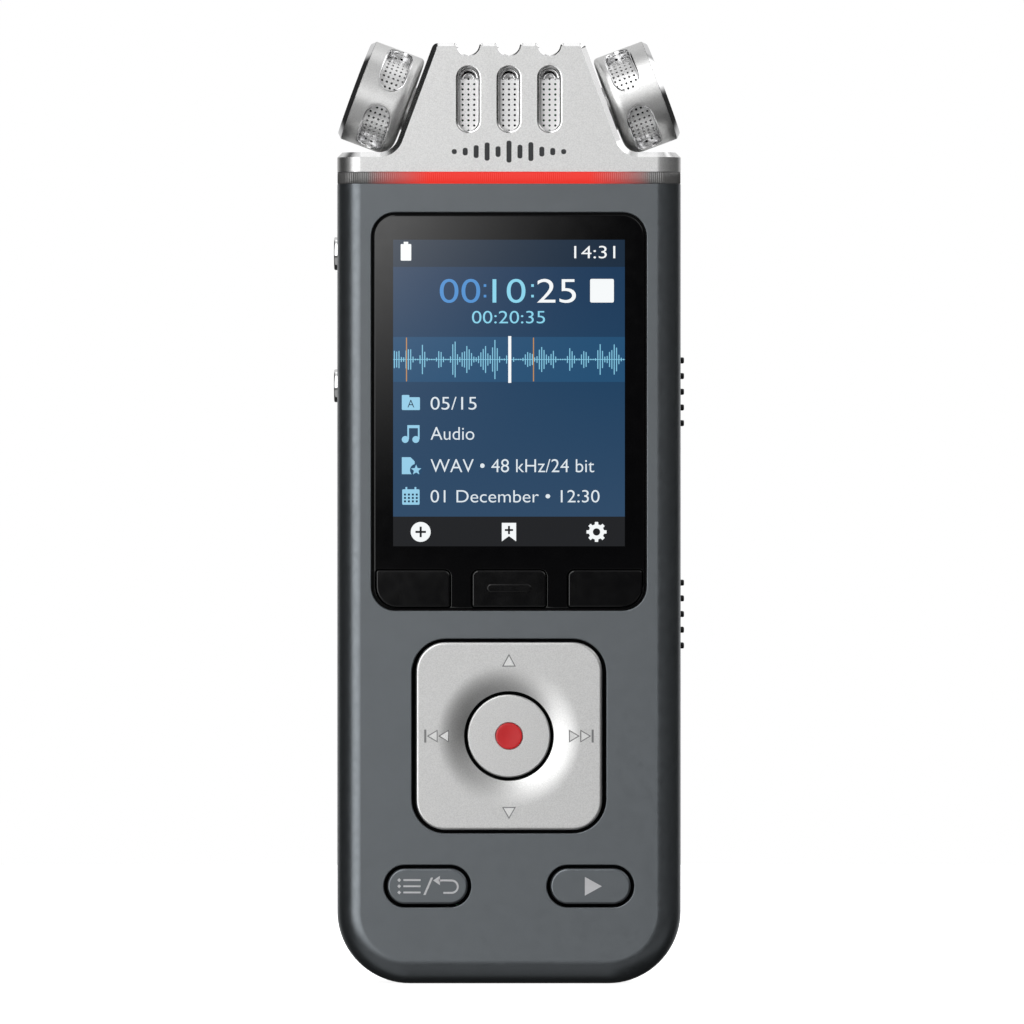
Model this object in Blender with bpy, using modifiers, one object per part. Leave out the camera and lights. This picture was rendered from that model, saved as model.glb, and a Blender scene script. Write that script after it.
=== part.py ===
"""Portable field recorder with two tilted microphone pods.

Metres, +Z up. The recorder stands upright on its bottom end and its front
faces -Y. The origin is the middle of the bottom end. Depths are measured
from the front face towards the back.
"""
import math

import bmesh
import bpy

MM = 0.001

# Body
BODY_WIDTH = 45.6 * MM
BODY_DEPTH = 16.5 * MM
BODY_HEIGHT = 106.1 * MM
BODY_CORNER = 9.6 * MM
BODY_EDGE = 3.2 * MM
WALL = 1.4 * MM
GAP = 0.3 * MM
SPLIT_DEPTH = 11.0 * MM

# Front face: the direction pad stands proud, so the box is centred on Y
PAD_PROUD = 0.35 * MM
KEY_PROUD = 0.25 * MM
FRONT = PAD_PROUD - (BODY_DEPTH + PAD_PROUD) / 2
BACK = FRONT + BODY_DEPTH
MIDDLE = (FRONT + BACK) / 2
SIDE_PROUD = 0.5 * MM
BOSS_FRONT_RADIUS = 2.0 * MM
BOSS_REAR_RADIUS = 2.4 * MM
CABLE_WAY = (20 * MM, 6 * MM, 4 * MM)

# Display window and the three keys under it
WINDOW_WIDTH = 35.9 * MM
WINDOW_BOTTOM = 49.8 * MM
WINDOW_TOP = 102.0 * MM
WINDOW_CORNER = 2.9 * MM
WINDOW_GAP = 0.35 * MM
LENS_THICKNESS = 1.0 * MM
SOFTKEY_WIDTH = 9.8 * MM
SOFTKEY_HEIGHT = 4.85 * MM
SOFTKEY_PITCH = 12.72 * MM
SOFTKEY_CORNER = 0.8 * MM
SOFTKEY_LIP_ABOVE = 0.6 * MM
SOFTKEY_BAR_WIDTH = 5.9 * MM
SOFTKEY_BAR_HEIGHT = 1.1 * MM
SOFTKEY_BAR_PROUD = 0.15 * MM
LCD_WIDTH = 34.4 * MM
LCD_BOTTOM = 56.2 * MM
LCD_TOP = 100.2 * MM
LCD_DEPTH = 1.35 * MM
LCD_THICKNESS = 1.8 * MM

# Direction pad with the record button in its middle
PAD_HEIGHT_ABOVE_BASE = 32.9 * MM
PAD_WIDTH = 24.7 * MM
PAD_HEIGHT = 24.9 * MM
PAD_CORNER = 3.9 * MM
PAD_THICKNESS = 2.2 * MM
PAD_OPENING = 25.85 * MM
PAD_OPENING_CORNER = 4.5 * MM
KEY_CHAMFER = 0.3 * MM
DISH_RADIUS = 9.2 * MM
DISH_DEPTH = 0.9 * MM
RECORD_HOLE = 6.1 * MM
RECORD_RADIUS = 5.5 * MM
RECORD_PROUD = 0.2 * MM
RECORD_CHAMFER = 0.35 * MM
RECORD_CAP = 2.4 * MM
STEM_RADIUS = 2.5 * MM
STEM_END = 3.2 * MM
DOT_RADIUS = 1.75 * MM
DOT_SEAT_DEPTH = 0.9 * MM
PIVOT_DEPTH = 2.65 * MM
PIVOT_RING_OUTER = 8.6 * MM
PIVOT_RING_INNER = 6.4 * MM
PIVOT_RING_THICKNESS = 0.8 * MM

# Menu and play keys
CAPSULE_WIDTH = 10.7 * MM
CAPSULE_HEIGHT = 4.75 * MM
CAPSULE_CLEARANCE = 0.45 * MM
CAPSULE_OFFSET = 10.8 * MM
CAPSULE_Z = 13.0 * MM
FLANGE_DEPTH = 1.7 * MM
FLANGE_THICKNESS = 0.55 * MM
FLANGE_LIP = 1.1 * MM

# Electronics, all as depths behind the front face
MAT_DEPTH = 2.75 * MM
MAT_THICKNESS = 0.55 * MM
MAT_WIDTH = 35.6 * MM
MAT_BOTTOM = 10.5 * MM
MAT_TOP = 55.4 * MM
DOME_DEPTH = 3.5 * MM
DOME_THICKNESS = 0.25 * MM
DOME_SHEET_WIDTH = 34.0 * MM
DOME_RADIUS = 2.0 * MM
DOME_RISE = 0.05 * MM
BOARD_DEPTH = 4.05 * MM
BOARD_THICKNESS = 1.0 * MM
BOARD_WIDTH = 34.4 * MM
BOARD_BOTTOM = 12.5 * MM
BOARD_TOP = 98.0 * MM
BOARD_TAB_WIDTH = 14 * MM
BOARD_TAB_HEIGHT = 6 * MM
BOARD_TAB_DROP = 2.5 * MM
CHIP_ROOT = 0.5 * MM
SIDE_PART_DEPTH = 7.85 * MM
SIDE_PART_THICKNESS = 5.0 * MM
BATTERY_SIZE = (33.0 * MM, 6.0 * MM, 49.0 * MM)
BATTERY_CENTRE = (-2.5 * MM, 9.45 * MM, 50.0 * MM)
TRAY_WALL = 0.6 * MM
TRAY_RISE = 3.6 * MM
BATTERY_CORNER = 1.2 * MM

# Sockets and switches on the sides
JACK_HEIGHTS = {"microphone": 97.0 * MM, "earphone": 79.4 * MM}
JACK_BORE = 1.8 * MM
JACK_COLLAR = 2.2 * MM
JACK_BODY_WIDTH = 6.2 * MM
JACK_BODY_LENGTH = 14.0 * MM
SLIDER_HEIGHTS = {"power": 78.6 * MM, "mode": 49.0 * MM}
SLIDER_TRAVEL = 2.0 * MM
RIDGE_PITCH = 2.09 * MM
RIDGE_THICKNESS = 0.78 * MM
RIDGE_COUNT = 5
KNOB_LENGTH = 9.8 * MM
KNOB_WIDTH = 3.4 * MM
KNOB_FLANGE_LENGTH = 18.4 * MM
KNOB_FLANGE_THICKNESS = 0.8 * MM
KNOB_FLANGE_LIP = 0.7 * MM
KNOB_SINK = 0.1 * MM
SWITCH_WIDTH = 4.4 * MM
SWITCH_LENGTH = 10 * MM
USB_WIDTH = 8.94 * MM
USB_THICKNESS = 3.26 * MM
USB_DEPTH = 7.0 * MM
USB_BOTTOM = 0.6 * MM
USB_LENGTH = 7.3 * MM
USB_WALL = 0.3 * MM
USB_TONGUE_WIDTH = 6.6 * MM
USB_TONGUE_THICKNESS = 0.7 * MM
USB_TONGUE_LENGTH = 5.0 * MM

# Back
SPEAKER_Z = 15.5 * MM
SPEAKER_RADIUS = 8.0 * MM
SPEAKER_BASKET_RADIUS = 5.2 * MM
SPEAKER_BASKET_DEPTH = 2.7 * MM
SPEAKER_SLOT_WIDTH = 11.0 * MM
SPEAKER_SLOT_STEP = 1.6 * MM
SPEAKER_SLOT_HEIGHT = 0.9 * MM
SPEAKER_SLOT_PITCH = 2.2 * MM
TRIPOD_Z = 88.0 * MM
TRIPOD_RADIUS = 4.5 * MM
TRIPOD_BORE = 3.175 * MM
TRIPOD_LENGTH = 6.2 * MM
TRIPOD_BORE_LENGTH = 5.2 * MM
SCREW_X = 17.0 * MM
SCREW_HEIGHTS = (8.2 * MM, 102.9 * MM)
SCREW_HEAD = 1.4 * MM
SCREW_SHANK = 0.75 * MM
SCREW_HEAD_LENGTH = 0.8 * MM
SCREW_SHANK_LENGTH = 9.0 * MM
SCREW_RECESS = 1.2 * MM
SCREW_SLOT_WIDTH = 0.4 * MM
SCREW_SLOT_DEPTH = 0.4 * MM

# Light band and head
BAND_BOTTOM = BODY_HEIGHT + GAP
BAND_TOP = 107.4 * MM
HEAD_BOTTOM = BAND_TOP + GAP
SHOULDER_TOP = 110.3 * MM
HEAD_TOP = 124.75 * MM
FLANK_LEAN = math.radians(20.4)
FLANK_TOP_X = 10.0 * MM
HEAD_FILLET = 2.6 * MM
HEAD_WALL = 1.5 * MM
HEAD_FLANK_WALL = 1.75 * MM
HEAD_ROOF = 0.9 * MM
NOTCH_RADIUS = 1.72 * MM
SLOT_PITCH = 5.38 * MM
SLOT_WIDTH = 2.9 * MM
SLOT_BOTTOM = 113.0 * MM
SLOT_TOP = 121.6 * MM

# Microphone pods; the pod axis is square to the flank of the head
POD_X = 17.33 * MM
POD_Z = 117.8 * MM
POD_RADIUS = 6.9 * MM
POD_OUTER = 2.6 * MM
POD_INNER = -4.05 * MM
POD_FILLET = 2.0 * MM
POD_BORE = 5.6 * MM
POD_SPIGOT = 3.0 * MM
POD_SPIGOT_END = -6.2 * MM
POD_SLOT_WIDTH = 3.2 * MM
POD_SLOT_LENGTH = 7.7 * MM
POD_SLOT_PLACE = -0.9 * MM
POD_SPIGOT_BORE = 2.2 * MM
POD_FLOOR = 1.3 * MM
SLEEVE_RADIUS = 5.3 * MM
SLEEVE_TOP = 1.2 * MM
SLEEVE_BOTTOM = -2.45 * MM
SLEEVE_SKIN = 0.4 * MM
RIM_SKIRT = 1.5 * MM
FACE_GRILLE_PLACE = 2.7 * MM
RIM_BACK = 2.9 * MM
RIM_FRONT = 3.44 * MM
RIM_RADIUS = 6.2 * MM

ROUND_STEPS = 24
INNER_STEPS = 16
EPS = 0.00001

parts = bpy.data.collections.new("Field_recorder")
cutters = bpy.data.collections.new("Cutters")


def clear_scene():
    for obj in list(bpy.data.objects):
        bpy.data.objects.remove(obj, do_unlink=True)
    bpy.context.scene.collection.children.link(parts)
    bpy.context.scene.collection.children.link(cutters)


# ---------------------------------------------------------------- materials

def material(name, color, roughness, metallic):
    found = bpy.data.materials.get(name)
    if found:
        return found
    made = bpy.data.materials.new(name)
    made.use_nodes = True
    shader = made.node_tree.nodes["Principled BSDF"]
    shader.inputs["Base Color"].default_value = (*color, 1.0)
    shader.inputs["Roughness"].default_value = roughness
    shader.inputs["Metallic"].default_value = metallic
    made.diffuse_color = (*color, 1.0)
    return made


def finish(obj, name, color, roughness, metallic=0.0):
    obj.data.materials.clear()
    obj.data.materials.append(material(name, color, roughness, metallic))
    return obj


def anthracite(obj):
    return finish(obj, "anthracite_paint", (0.135, 0.145, 0.16), 0.42, 0.35)


def satin_silver(obj, name="satin_silver"):
    return finish(obj, name, (0.76, 0.76, 0.77), 0.34, 0.9)


def polished(obj):
    return finish(obj, "polished_steel", (0.8, 0.8, 0.82), 0.12, 1.0)


def gloss_black(obj):
    return finish(obj, "gloss_black", (0.012, 0.012, 0.013), 0.08)


def dark_plastic(obj):
    return finish(obj, "dark_plastic", (0.03, 0.03, 0.033), 0.55)


def circuit_green(obj):
    return finish(obj, "circuit_board", (0.02, 0.16, 0.07), 0.5)


def soft_rubber(obj):
    return finish(obj, "soft_rubber", (0.05, 0.05, 0.055), 0.85)


def contact_steel(obj):
    return finish(obj, "contact_steel", (0.62, 0.62, 0.63), 0.3, 1.0)


# ------------------------------------------------------------- basic shapes

def add_object(name, mesh, collection, location=(0, 0, 0)):
    obj = bpy.data.objects.new(name, mesh)
    obj.location = location
    collection.objects.link(obj)
    if collection is cutters:
        obj.hide_render = True
        obj.display_type = "WIRE"
    return obj


def from_bmesh(name, bm, collection, location=(0, 0, 0)):
    mesh = bpy.data.meshes.new(name)
    bm.to_mesh(mesh)
    bm.free()
    mesh.shade_smooth()
    mesh.set_sharp_from_angle(angle=math.radians(32))
    return add_object(name, mesh, collection, location)


def round_edges(bm, edges, radius, steps):
    bmesh.ops.bevel(bm, geom=edges, offset=radius, offset_type="OFFSET", segments=steps,
                    profile=0.5, affect="EDGES", clamp_overlap=False)


def edges_along(bm, axis):
    found = []
    for edge in bm.edges:
        step = edge.verts[1].co - edge.verts[0].co
        if abs(step[axis]) > 0.999 * step.length:
            found.append(edge)
    return found


def block(name, size, centre, collection=None, axis=2, corner=0.0, steps=5, edge=0.0, edge_side=None):
    """A box whose edges along one axis are rounded, and whose end face may be chamfered.

    edge_side picks the end of the rounded axis, -1 or 1, that gets the chamfer.
    """
    bm = bmesh.new()
    bmesh.ops.create_cube(bm, size=1.0)
    bmesh.ops.scale(bm, vec=size, verts=bm.verts)
    if corner:
        round_edges(bm, edges_along(bm, axis), corner, steps)
    if edge:
        level = edge_side * size[axis] / 2
        rim = [e for e in bm.edges if all(abs(v.co[axis] - level) < EPS for v in e.verts)]
        round_edges(bm, rim, edge, 1)
    return from_bmesh(name, bm, collection or parts, centre)


def cylinder(name, radius, length, centre, axis="Z", collection=None, steps=ROUND_STEPS):
    bm = bmesh.new()
    bmesh.ops.create_cone(bm, cap_ends=True, segments=steps, radius1=radius, radius2=radius,
                          depth=length)
    obj = from_bmesh(name, bm, collection or parts, centre)
    turns = {"X": (0, math.pi / 2, 0), "Y": (math.pi / 2, 0, 0), "Z": (0, 0, 0)}
    obj.rotation_euler = turns[axis]
    return obj


def turned(name, profile, closed, collection=None, steps=ROUND_STEPS):
    """A profile of (radius, height) points, outer side first and downwards, turned about Z."""
    mesh = bpy.data.meshes.new(name)
    points = [(r, 0.0, z) for r, z in profile]
    edges = [(i, i + 1) for i in range(len(points) - 1)]
    if closed:
        edges.append((len(points) - 1, 0))
    mesh.from_pydata(points, edges, [])
    obj = add_object(name, mesh, collection or parts)
    screw = obj.modifiers.new("Turn", "SCREW")
    screw.axis = "Z"
    screw.steps = steps
    screw.render_steps = steps
    screw.use_merge_vertices = True
    screw.merge_threshold = EPS
    screw.use_smooth_shade = True
    return obj


def prism(name, outline, front, back, collection):
    """A flat outline of (x, z) points carried from front to back along Y."""
    curve = bpy.data.curves.new(name, "CURVE")
    curve.dimensions = "2D"
    curve.fill_mode = "BOTH"
    curve.extrude = (back - front) / 2
    spline = curve.splines.new("POLY")
    spline.points.add(len(outline) - 1)
    for point, (x, z) in zip(spline.points, outline):
        point.co = (x, z, 0.0, 1.0)
    spline.use_cyclic_u = True
    drawn = add_object(name + "_outline", curve, cutters)
    graph = bpy.context.evaluated_depsgraph_get()
    mesh = bpy.data.meshes.new_from_object(drawn.evaluated_get(graph))
    bpy.data.objects.remove(drawn, do_unlink=True)
    bm = bmesh.new()
    bm.from_mesh(mesh)
    bmesh.ops.remove_doubles(bm, verts=bm.verts, dist=EPS)
    bmesh.ops.recalc_face_normals(bm, faces=bm.faces)
    obj = from_bmesh(name, bm, collection, (0.0, (front + back) / 2, 0.0))
    obj.rotation_euler = (math.pi / 2, 0, 0)
    return obj


def arc(centre, radius, start, end, steps):
    """Points (x, z) on a circle from one angle to another, in degrees."""
    angles = [math.radians(start + (end - start) * i / steps) for i in range(steps + 1)]
    return [(centre[0] + radius * math.cos(a), centre[1] + radius * math.sin(a)) for a in angles]


def boolean(obj, tool, operation):
    step = obj.modifiers.new(operation.title(), "BOOLEAN")
    step.operation = operation
    step.solver = "EXACT"
    step.object = tool
    return obj


def cut(obj, *tools):
    for tool in tools:
        boolean(obj, tool, "DIFFERENCE")
    return obj


def join(obj, *tools):
    for tool in tools:
        boolean(obj, tool, "UNION")
    return obj


def at_depth(depth):
    return FRONT + depth


def slab(name, width, height, thickness, x, depth, z, collection=None, **rounding):
    """A plate that faces the front: its front face lies at the given depth."""
    centre = (x, at_depth(depth + thickness / 2), z)
    return block(name, (width, thickness, height), centre, collection, axis=1, **rounding)


def empty(name, location, rotation=(0, 0, 0)):
    obj = bpy.data.objects.new(name, None)
    obj.location = location
    obj.rotation_euler = rotation
    parts.objects.link(obj)
    return obj


def set_parent(obj, parent):
    obj.parent = parent
    return obj


# ------------------------------------------------------------------ housing

def body_form(name, inset, front, back):
    """The outer form of the body, or its hollow when inset by the wall."""
    width = BODY_WIDTH - 2 * inset
    height = BODY_HEIGHT - 2 * inset
    depth = back - front
    bm = bmesh.new()
    bmesh.ops.create_cube(bm, size=1.0)
    bmesh.ops.scale(bm, vec=(width, depth, height), verts=bm.verts)
    low = [e for e in edges_along(bm, 1) if e.verts[0].co.z < 0]
    round_edges(bm, low, BODY_CORNER - inset, 5 if inset else 7)
    rim = []
    for edge in bm.edges:
        ends = [v.co for v in edge.verts]
        same_side = abs(ends[0].y - ends[1].y) < EPS
        on_top = all(end.z > height / 2 - EPS for end in ends)
        if same_side and not on_top and all(abs(abs(end.y) - depth / 2) < EPS for end in ends):
            rim.append(edge)
    round_edges(bm, rim, BODY_EDGE - inset, 2 if inset else 3)
    centre = (0.0, (front + back) / 2, BODY_HEIGHT / 2)
    return from_bmesh(name, bm, cutters, centre)


def housing_half(name, keep_front):
    """One half of the body shell, parted square to Y."""
    obj = body_form(name, 0.0, FRONT, BACK)
    cutters.objects.unlink(obj)
    parts.objects.link(obj)
    obj.hide_render = False
    obj.display_type = "TEXTURED"
    if keep_front:
        low = at_depth(SPLIT_DEPTH) - GAP / 2
        high = BACK + WALL
    else:
        low = FRONT - WALL
        high = at_depth(SPLIT_DEPTH) + GAP / 2
    size = (BODY_WIDTH * 1.2, high - low, BODY_HEIGHT * 1.2)
    centre = (0.0, (low + high) / 2, BODY_HEIGHT / 2)
    cut(obj, block(name + "_parting", size, centre, cutters))
    cut(obj, body_form(name + "_hollow", WALL, FRONT + WALL, BACK - WALL))
    cut(obj, block(name + "_cable_way", CABLE_WAY, (0.0, MIDDLE, BODY_HEIGHT - WALL / 2), cutters))
    return obj


def screw_places():
    return [(side * SCREW_X, height) for height in SCREW_HEIGHTS for side in (-1, 1)]


def front_housing():
    obj = housing_half("front_housing", True)
    window = (WINDOW_WIDTH + 2 * WINDOW_GAP, 3 * WALL, WINDOW_TOP - WINDOW_BOTTOM + 2 * WINDOW_GAP)
    cut(obj, block("window_opening", window, (0.0, FRONT, (WINDOW_TOP + WINDOW_BOTTOM) / 2), cutters,
                   axis=1, corner=WINDOW_CORNER + WINDOW_GAP, steps=4))
    pad = (PAD_OPENING, 3 * WALL, PAD_OPENING)
    cut(obj, block("pad_opening", pad, (0.0, FRONT, PAD_HEIGHT_ABOVE_BASE), cutters, axis=1,
                   corner=PAD_OPENING_CORNER, steps=5))
    for side in (-1, 1):
        size = (CAPSULE_WIDTH + 2 * CAPSULE_CLEARANCE, 3 * WALL, CAPSULE_HEIGHT + 2 * CAPSULE_CLEARANCE)
        cut(obj, block("capsule_opening", size, (side * CAPSULE_OFFSET, FRONT, CAPSULE_Z), cutters,
                       axis=1, corner=size[2] / 2 - EPS, steps=7))
    for height in JACK_HEIGHTS.values():
        cut(obj, cylinder("jack_opening", JACK_COLLAR + GAP, 4 * WALL,
                          (-BODY_WIDTH / 2, at_depth(SIDE_PART_DEPTH), height), "X", cutters, 20))
    slot_length = KNOB_LENGTH + 2 * SLIDER_TRAVEL + 2 * GAP
    for height in SLIDER_HEIGHTS.values():
        cut(obj, block("slider_opening", (4 * WALL, KNOB_WIDTH + 2 * GAP, slot_length),
                       (BODY_WIDTH / 2, at_depth(SIDE_PART_DEPTH), height), cutters))
    usb = (USB_WIDTH + 2 * GAP, USB_THICKNESS + 2 * GAP, 4 * WALL)
    cut(obj, block("usb_opening", usb, (0.0, at_depth(USB_DEPTH), 0.0), cutters,
                   corner=usb[1] / 2 - EPS, steps=5))
    for x, z in screw_places():
        front = WALL / 2 if z < BODY_HEIGHT / 2 else 2 * WALL
        back = SPLIT_DEPTH - GAP / 2
        place = (x, at_depth((front + back) / 2), z)
        join(obj, cylinder("front_boss", BOSS_FRONT_RADIUS, back - front, place, "Y", cutters, 12))
    for x, z in screw_places():
        cut(obj, cylinder("front_boss_hole", SCREW_SHANK + GAP, 10 * MM,
                          (x, at_depth(SPLIT_DEPTH), z), "Y", cutters, 10))
    return anthracite(obj)


def rear_housing():
    obj = housing_half("rear_housing", False)
    for x, z in screw_places():
        front = SPLIT_DEPTH + GAP / 2
        back = BODY_DEPTH - WALL / 2
        place = (x, at_depth((front + back) / 2), z)
        join(obj, cylinder("rear_boss", BOSS_REAR_RADIUS, back - front, place, "Y", cutters, 12))
    for x, z in screw_places():
        cut(obj, cylinder("rear_boss_hole", SCREW_SHANK + GAP, 12 * MM, (x, BACK, z), "Y", cutters, 10))
        cut(obj, cylinder("screw_recess", SCREW_HEAD + GAP, 2 * SCREW_RECESS, (x, BACK, z), "Y", cutters,
                          14))
    for row in range(-2, 3):
        width = SPEAKER_SLOT_WIDTH - SPEAKER_SLOT_STEP * abs(row)
        place = (0.0, BACK, SPEAKER_Z + row * SPEAKER_SLOT_PITCH)
        cut(obj, block("speaker_slot", (width, 4 * WALL, SPEAKER_SLOT_HEIGHT), place, cutters, axis=1,
                       corner=SPEAKER_SLOT_HEIGHT / 2 - EPS, steps=3))
    cut(obj, cylinder("tripod_opening", TRIPOD_RADIUS + GAP, 4 * WALL, (0.0, BACK, TRIPOD_Z), "Y",
                      cutters, 20))
    return dark_plastic(obj)


def housing_screws():
    """Four screws from the back, each head sunk in its recess."""
    head_back = BACK - GAP
    shank_end = -SCREW_HEAD_LENGTH - SCREW_SHANK_LENGTH
    for number, (x, z) in enumerate(screw_places(), start=1):
        profile = [(0.0, 0.0), (SCREW_HEAD, 0.0), (SCREW_HEAD, -SCREW_HEAD_LENGTH),
                   (SCREW_SHANK, -SCREW_HEAD_LENGTH), (SCREW_SHANK, shank_end), (0.0, shank_end)]
        screw = turned(f"housing_screw_{number}", profile, False, steps=12)
        screw.location = (x, head_back, z)
        screw.rotation_euler = (-math.pi / 2, 0, 0)
        slot = (2 * SCREW_HEAD - GAP, 2 * SCREW_SLOT_DEPTH, SCREW_SLOT_WIDTH)
        contact_steel(cut(screw, block("screw_slot", slot, (x, head_back, z), cutters)))


def light_band():
    height = BAND_TOP - BAND_BOTTOM
    middle = (0.0, MIDDLE, (BAND_TOP + BAND_BOTTOM) / 2)
    obj = block("light_band", (BODY_WIDTH, BODY_DEPTH, height), middle, corner=BODY_EDGE, steps=4)
    hollow = (BODY_WIDTH - 2 * WALL, BODY_DEPTH - 2 * WALL, height * 3)
    cut(obj, block("band_hollow", hollow, middle, cutters, corner=BODY_EDGE - WALL, steps=3))
    return finish(obj, "light_band", (0.75, 0.06, 0.045), 0.3)


def led_strip():
    """A narrow board with five lamps that shine forwards into the band."""
    depth = WALL + 1.2 * MM
    z = (BAND_TOP + BAND_BOTTOM) / 2
    obj = slab("led_strip", 24 * MM, 0.9 * MM, 0.6 * MM, 0.0, depth, z)
    for place in range(-2, 3):
        lamp = slab("lamp", 1.4 * MM, 0.7 * MM, 0.8 * MM, place * 5 * MM, depth - 0.5 * MM, z, cutters)
        join(obj, lamp)
    return finish(obj, "led_strip", (0.9, 0.88, 0.8), 0.4)


# ------------------------------------------------------------------ display

def softkey_places():
    return {"left": -SOFTKEY_PITCH, "middle": 0.0, "right": SOFTKEY_PITCH}


def softkey_middle_z():
    return WINDOW_BOTTOM + SOFTKEY_HEIGHT / 2 + GAP


def display_lens():
    size = (WINDOW_WIDTH, LENS_THICKNESS, WINDOW_TOP - WINDOW_BOTTOM)
    centre = (0.0, at_depth(LENS_THICKNESS / 2), (WINDOW_TOP + WINDOW_BOTTOM) / 2)
    obj = block("display_lens", size, centre, axis=1, corner=WINDOW_CORNER, steps=4)
    for x in softkey_places().values():
        notch = (SOFTKEY_WIDTH + 2 * GAP, 4 * LENS_THICKNESS, SOFTKEY_HEIGHT * 2)
        z = WINDOW_BOTTOM + SOFTKEY_HEIGHT + 2 * GAP - notch[2] / 2
        cut(obj, block("softkey_notch", notch, (x, FRONT, z), cutters, axis=1, corner=SOFTKEY_CORNER,
                       steps=3))
    return gloss_black(obj)


def lcd_panel():
    height = LCD_TOP - LCD_BOTTOM
    obj = slab("lcd_panel", LCD_WIDTH, height, LCD_THICKNESS, 0.0, LCD_DEPTH, LCD_BOTTOM + height / 2)
    return finish(obj, "lcd_panel", (0.03, 0.09, 0.17), 0.25)


def key(name, width, height, x, z, corner, lip_above, trim=None):
    """A moulded key: a cap in the opening and a wider flange behind the front wall."""
    reach = FLANGE_DEPTH + FLANGE_THICKNESS / 2
    cap = slab(name, width, height, KEY_PROUD + reach, x, -KEY_PROUD, z, corner=corner, steps=6,
               edge=KEY_CHAMFER, edge_side=-1)
    if trim:
        boolean(cap, trim, "INTERSECT")
    flange = slab(name + "_flange", width + 2 * FLANGE_LIP, height + FLANGE_LIP + lip_above,
                  FLANGE_THICKNESS, x, FLANGE_DEPTH, z + (lip_above - FLANGE_LIP) / 2, cutters,
                  corner=corner + FLANGE_LIP, steps=6)
    return join(cap, flange)


def softkeys():
    """Three keys under the glass; the outer two follow the window's round corners."""
    width = WINDOW_WIDTH - 2 * GAP
    height = WINDOW_TOP - WINDOW_BOTTOM - 2 * GAP
    window = slab("softkey_trim", width, height, 8 * MM, 0.0, -2 * MM, (WINDOW_TOP + WINDOW_BOTTOM) / 2,
                  cutters, corner=WINDOW_CORNER - GAP, steps=5)
    for side, x in softkey_places().items():
        trim = None if side == "middle" else window
        obj = key(f"softkey_{side}", SOFTKEY_WIDTH, SOFTKEY_HEIGHT, x, softkey_middle_z(),
                  SOFTKEY_CORNER, SOFTKEY_LIP_ABOVE, trim)
        if side == "middle":
            bar = slab("softkey_bar", SOFTKEY_BAR_WIDTH, SOFTKEY_BAR_HEIGHT, 3 * SOFTKEY_BAR_PROUD, 0.0,
                       -KEY_PROUD - SOFTKEY_BAR_PROUD, softkey_middle_z(), cutters,
                       corner=SOFTKEY_BAR_HEIGHT / 2 - EPS, steps=3)
            join(obj, bar)
        gloss_black(obj)


def capsule_keys():
    for name, side in (("menu_button", -1), ("play_button", 1)):
        obj = key(name, CAPSULE_WIDTH, CAPSULE_HEIGHT, side * CAPSULE_OFFSET, CAPSULE_Z,
                  CAPSULE_HEIGHT / 2 - EPS, FLANGE_LIP)
        anthracite(obj)


# ------------------------------------------------------------ direction pad

def pad_pivot():
    return (0.0, at_depth(PIVOT_DEPTH), PAD_HEIGHT_ABOVE_BASE)


def front_turned(name, profile, closed, depth, parent, collection=None, steps=ROUND_STEPS):
    """A turned piece on the pad's axis; profile heights point to the front from the depth."""
    obj = turned(name, profile, closed, collection, steps)
    obj.rotation_euler = (math.pi / 2, 0, 0)
    obj.location = (0.0, depth - PIVOT_DEPTH, 0.0)
    return set_parent(obj, parent)


def direction_pad(pivot):
    size = (PAD_WIDTH, PAD_THICKNESS, PAD_HEIGHT)
    obj = block("nav_plate", size, (0.0, PAD_THICKNESS / 2 - PAD_PROUD - PIVOT_DEPTH, 0.0), axis=1,
                corner=PAD_CORNER, steps=6, edge=KEY_CHAMFER, edge_side=-1)
    set_parent(obj, pivot)
    above = 1.0 * MM
    below = -2 * PAD_THICKNESS
    dish = [(0.0, above), (DISH_RADIUS + 0.6 * above, above), (DISH_RADIUS, 0.0),
            (DISH_RADIUS - 1.4 * MM, -0.55 * DISH_DEPTH), (RECORD_HOLE, -DISH_DEPTH),
            (RECORD_HOLE, below), (0.0, below)]
    cut(obj, front_turned("pad_dish", dish, False, -PAD_PROUD, pivot, cutters, 32))
    return satin_silver(obj, "pad_silver")


def pivot_ring(pivot):
    half = PIVOT_RING_THICKNESS / 2
    profile = [(PIVOT_RING_OUTER, half), (PIVOT_RING_OUTER, -half), (PIVOT_RING_INNER, -half),
               (PIVOT_RING_INNER, half)]
    return soft_rubber(front_turned("nav_pivot_ring", profile, True, PIVOT_DEPTH, pivot, steps=20))


def record_button(pivot):
    seat = DOT_RADIUS + GAP
    profile = [(0.0, -DOT_SEAT_DEPTH), (seat, -DOT_SEAT_DEPTH), (seat, 0.0),
               (RECORD_RADIUS - RECORD_CHAMFER, 0.0), (RECORD_RADIUS, -RECORD_CHAMFER),
               (RECORD_RADIUS, -RECORD_CAP), (STEM_RADIUS, -RECORD_CAP), (STEM_RADIUS, -STEM_END),
               (0.0, -STEM_END)]
    satin_silver(front_turned("record_button", profile, False, -RECORD_PROUD, pivot), "pad_silver")
    dot_back = GAP - DOT_SEAT_DEPTH
    dot = [(0.0, 0.0), (DOT_RADIUS, 0.0), (DOT_RADIUS, dot_back), (0.0, dot_back)]
    obj = front_turned("record_dot", dot, False, -RECORD_PROUD, pivot, steps=20)
    return finish(obj, "record_red", (0.62, 0.03, 0.035), 0.35)


def key_mat():
    """The silicone mat behind the keys, open in the middle for the pad's pivot."""
    obj = slab("key_mat", MAT_WIDTH, MAT_TOP - MAT_BOTTOM, MAT_THICKNESS, 0.0, MAT_DEPTH,
               (MAT_TOP + MAT_BOTTOM) / 2)
    opening = cylinder("mat_opening", PIVOT_RING_OUTER + 0.8 * MM, 4 * MAT_THICKNESS,
                       (0.0, at_depth(MAT_DEPTH), PAD_HEIGHT_ABOVE_BASE), "Y", cutters)
    return soft_rubber(cut(obj, opening))


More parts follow.
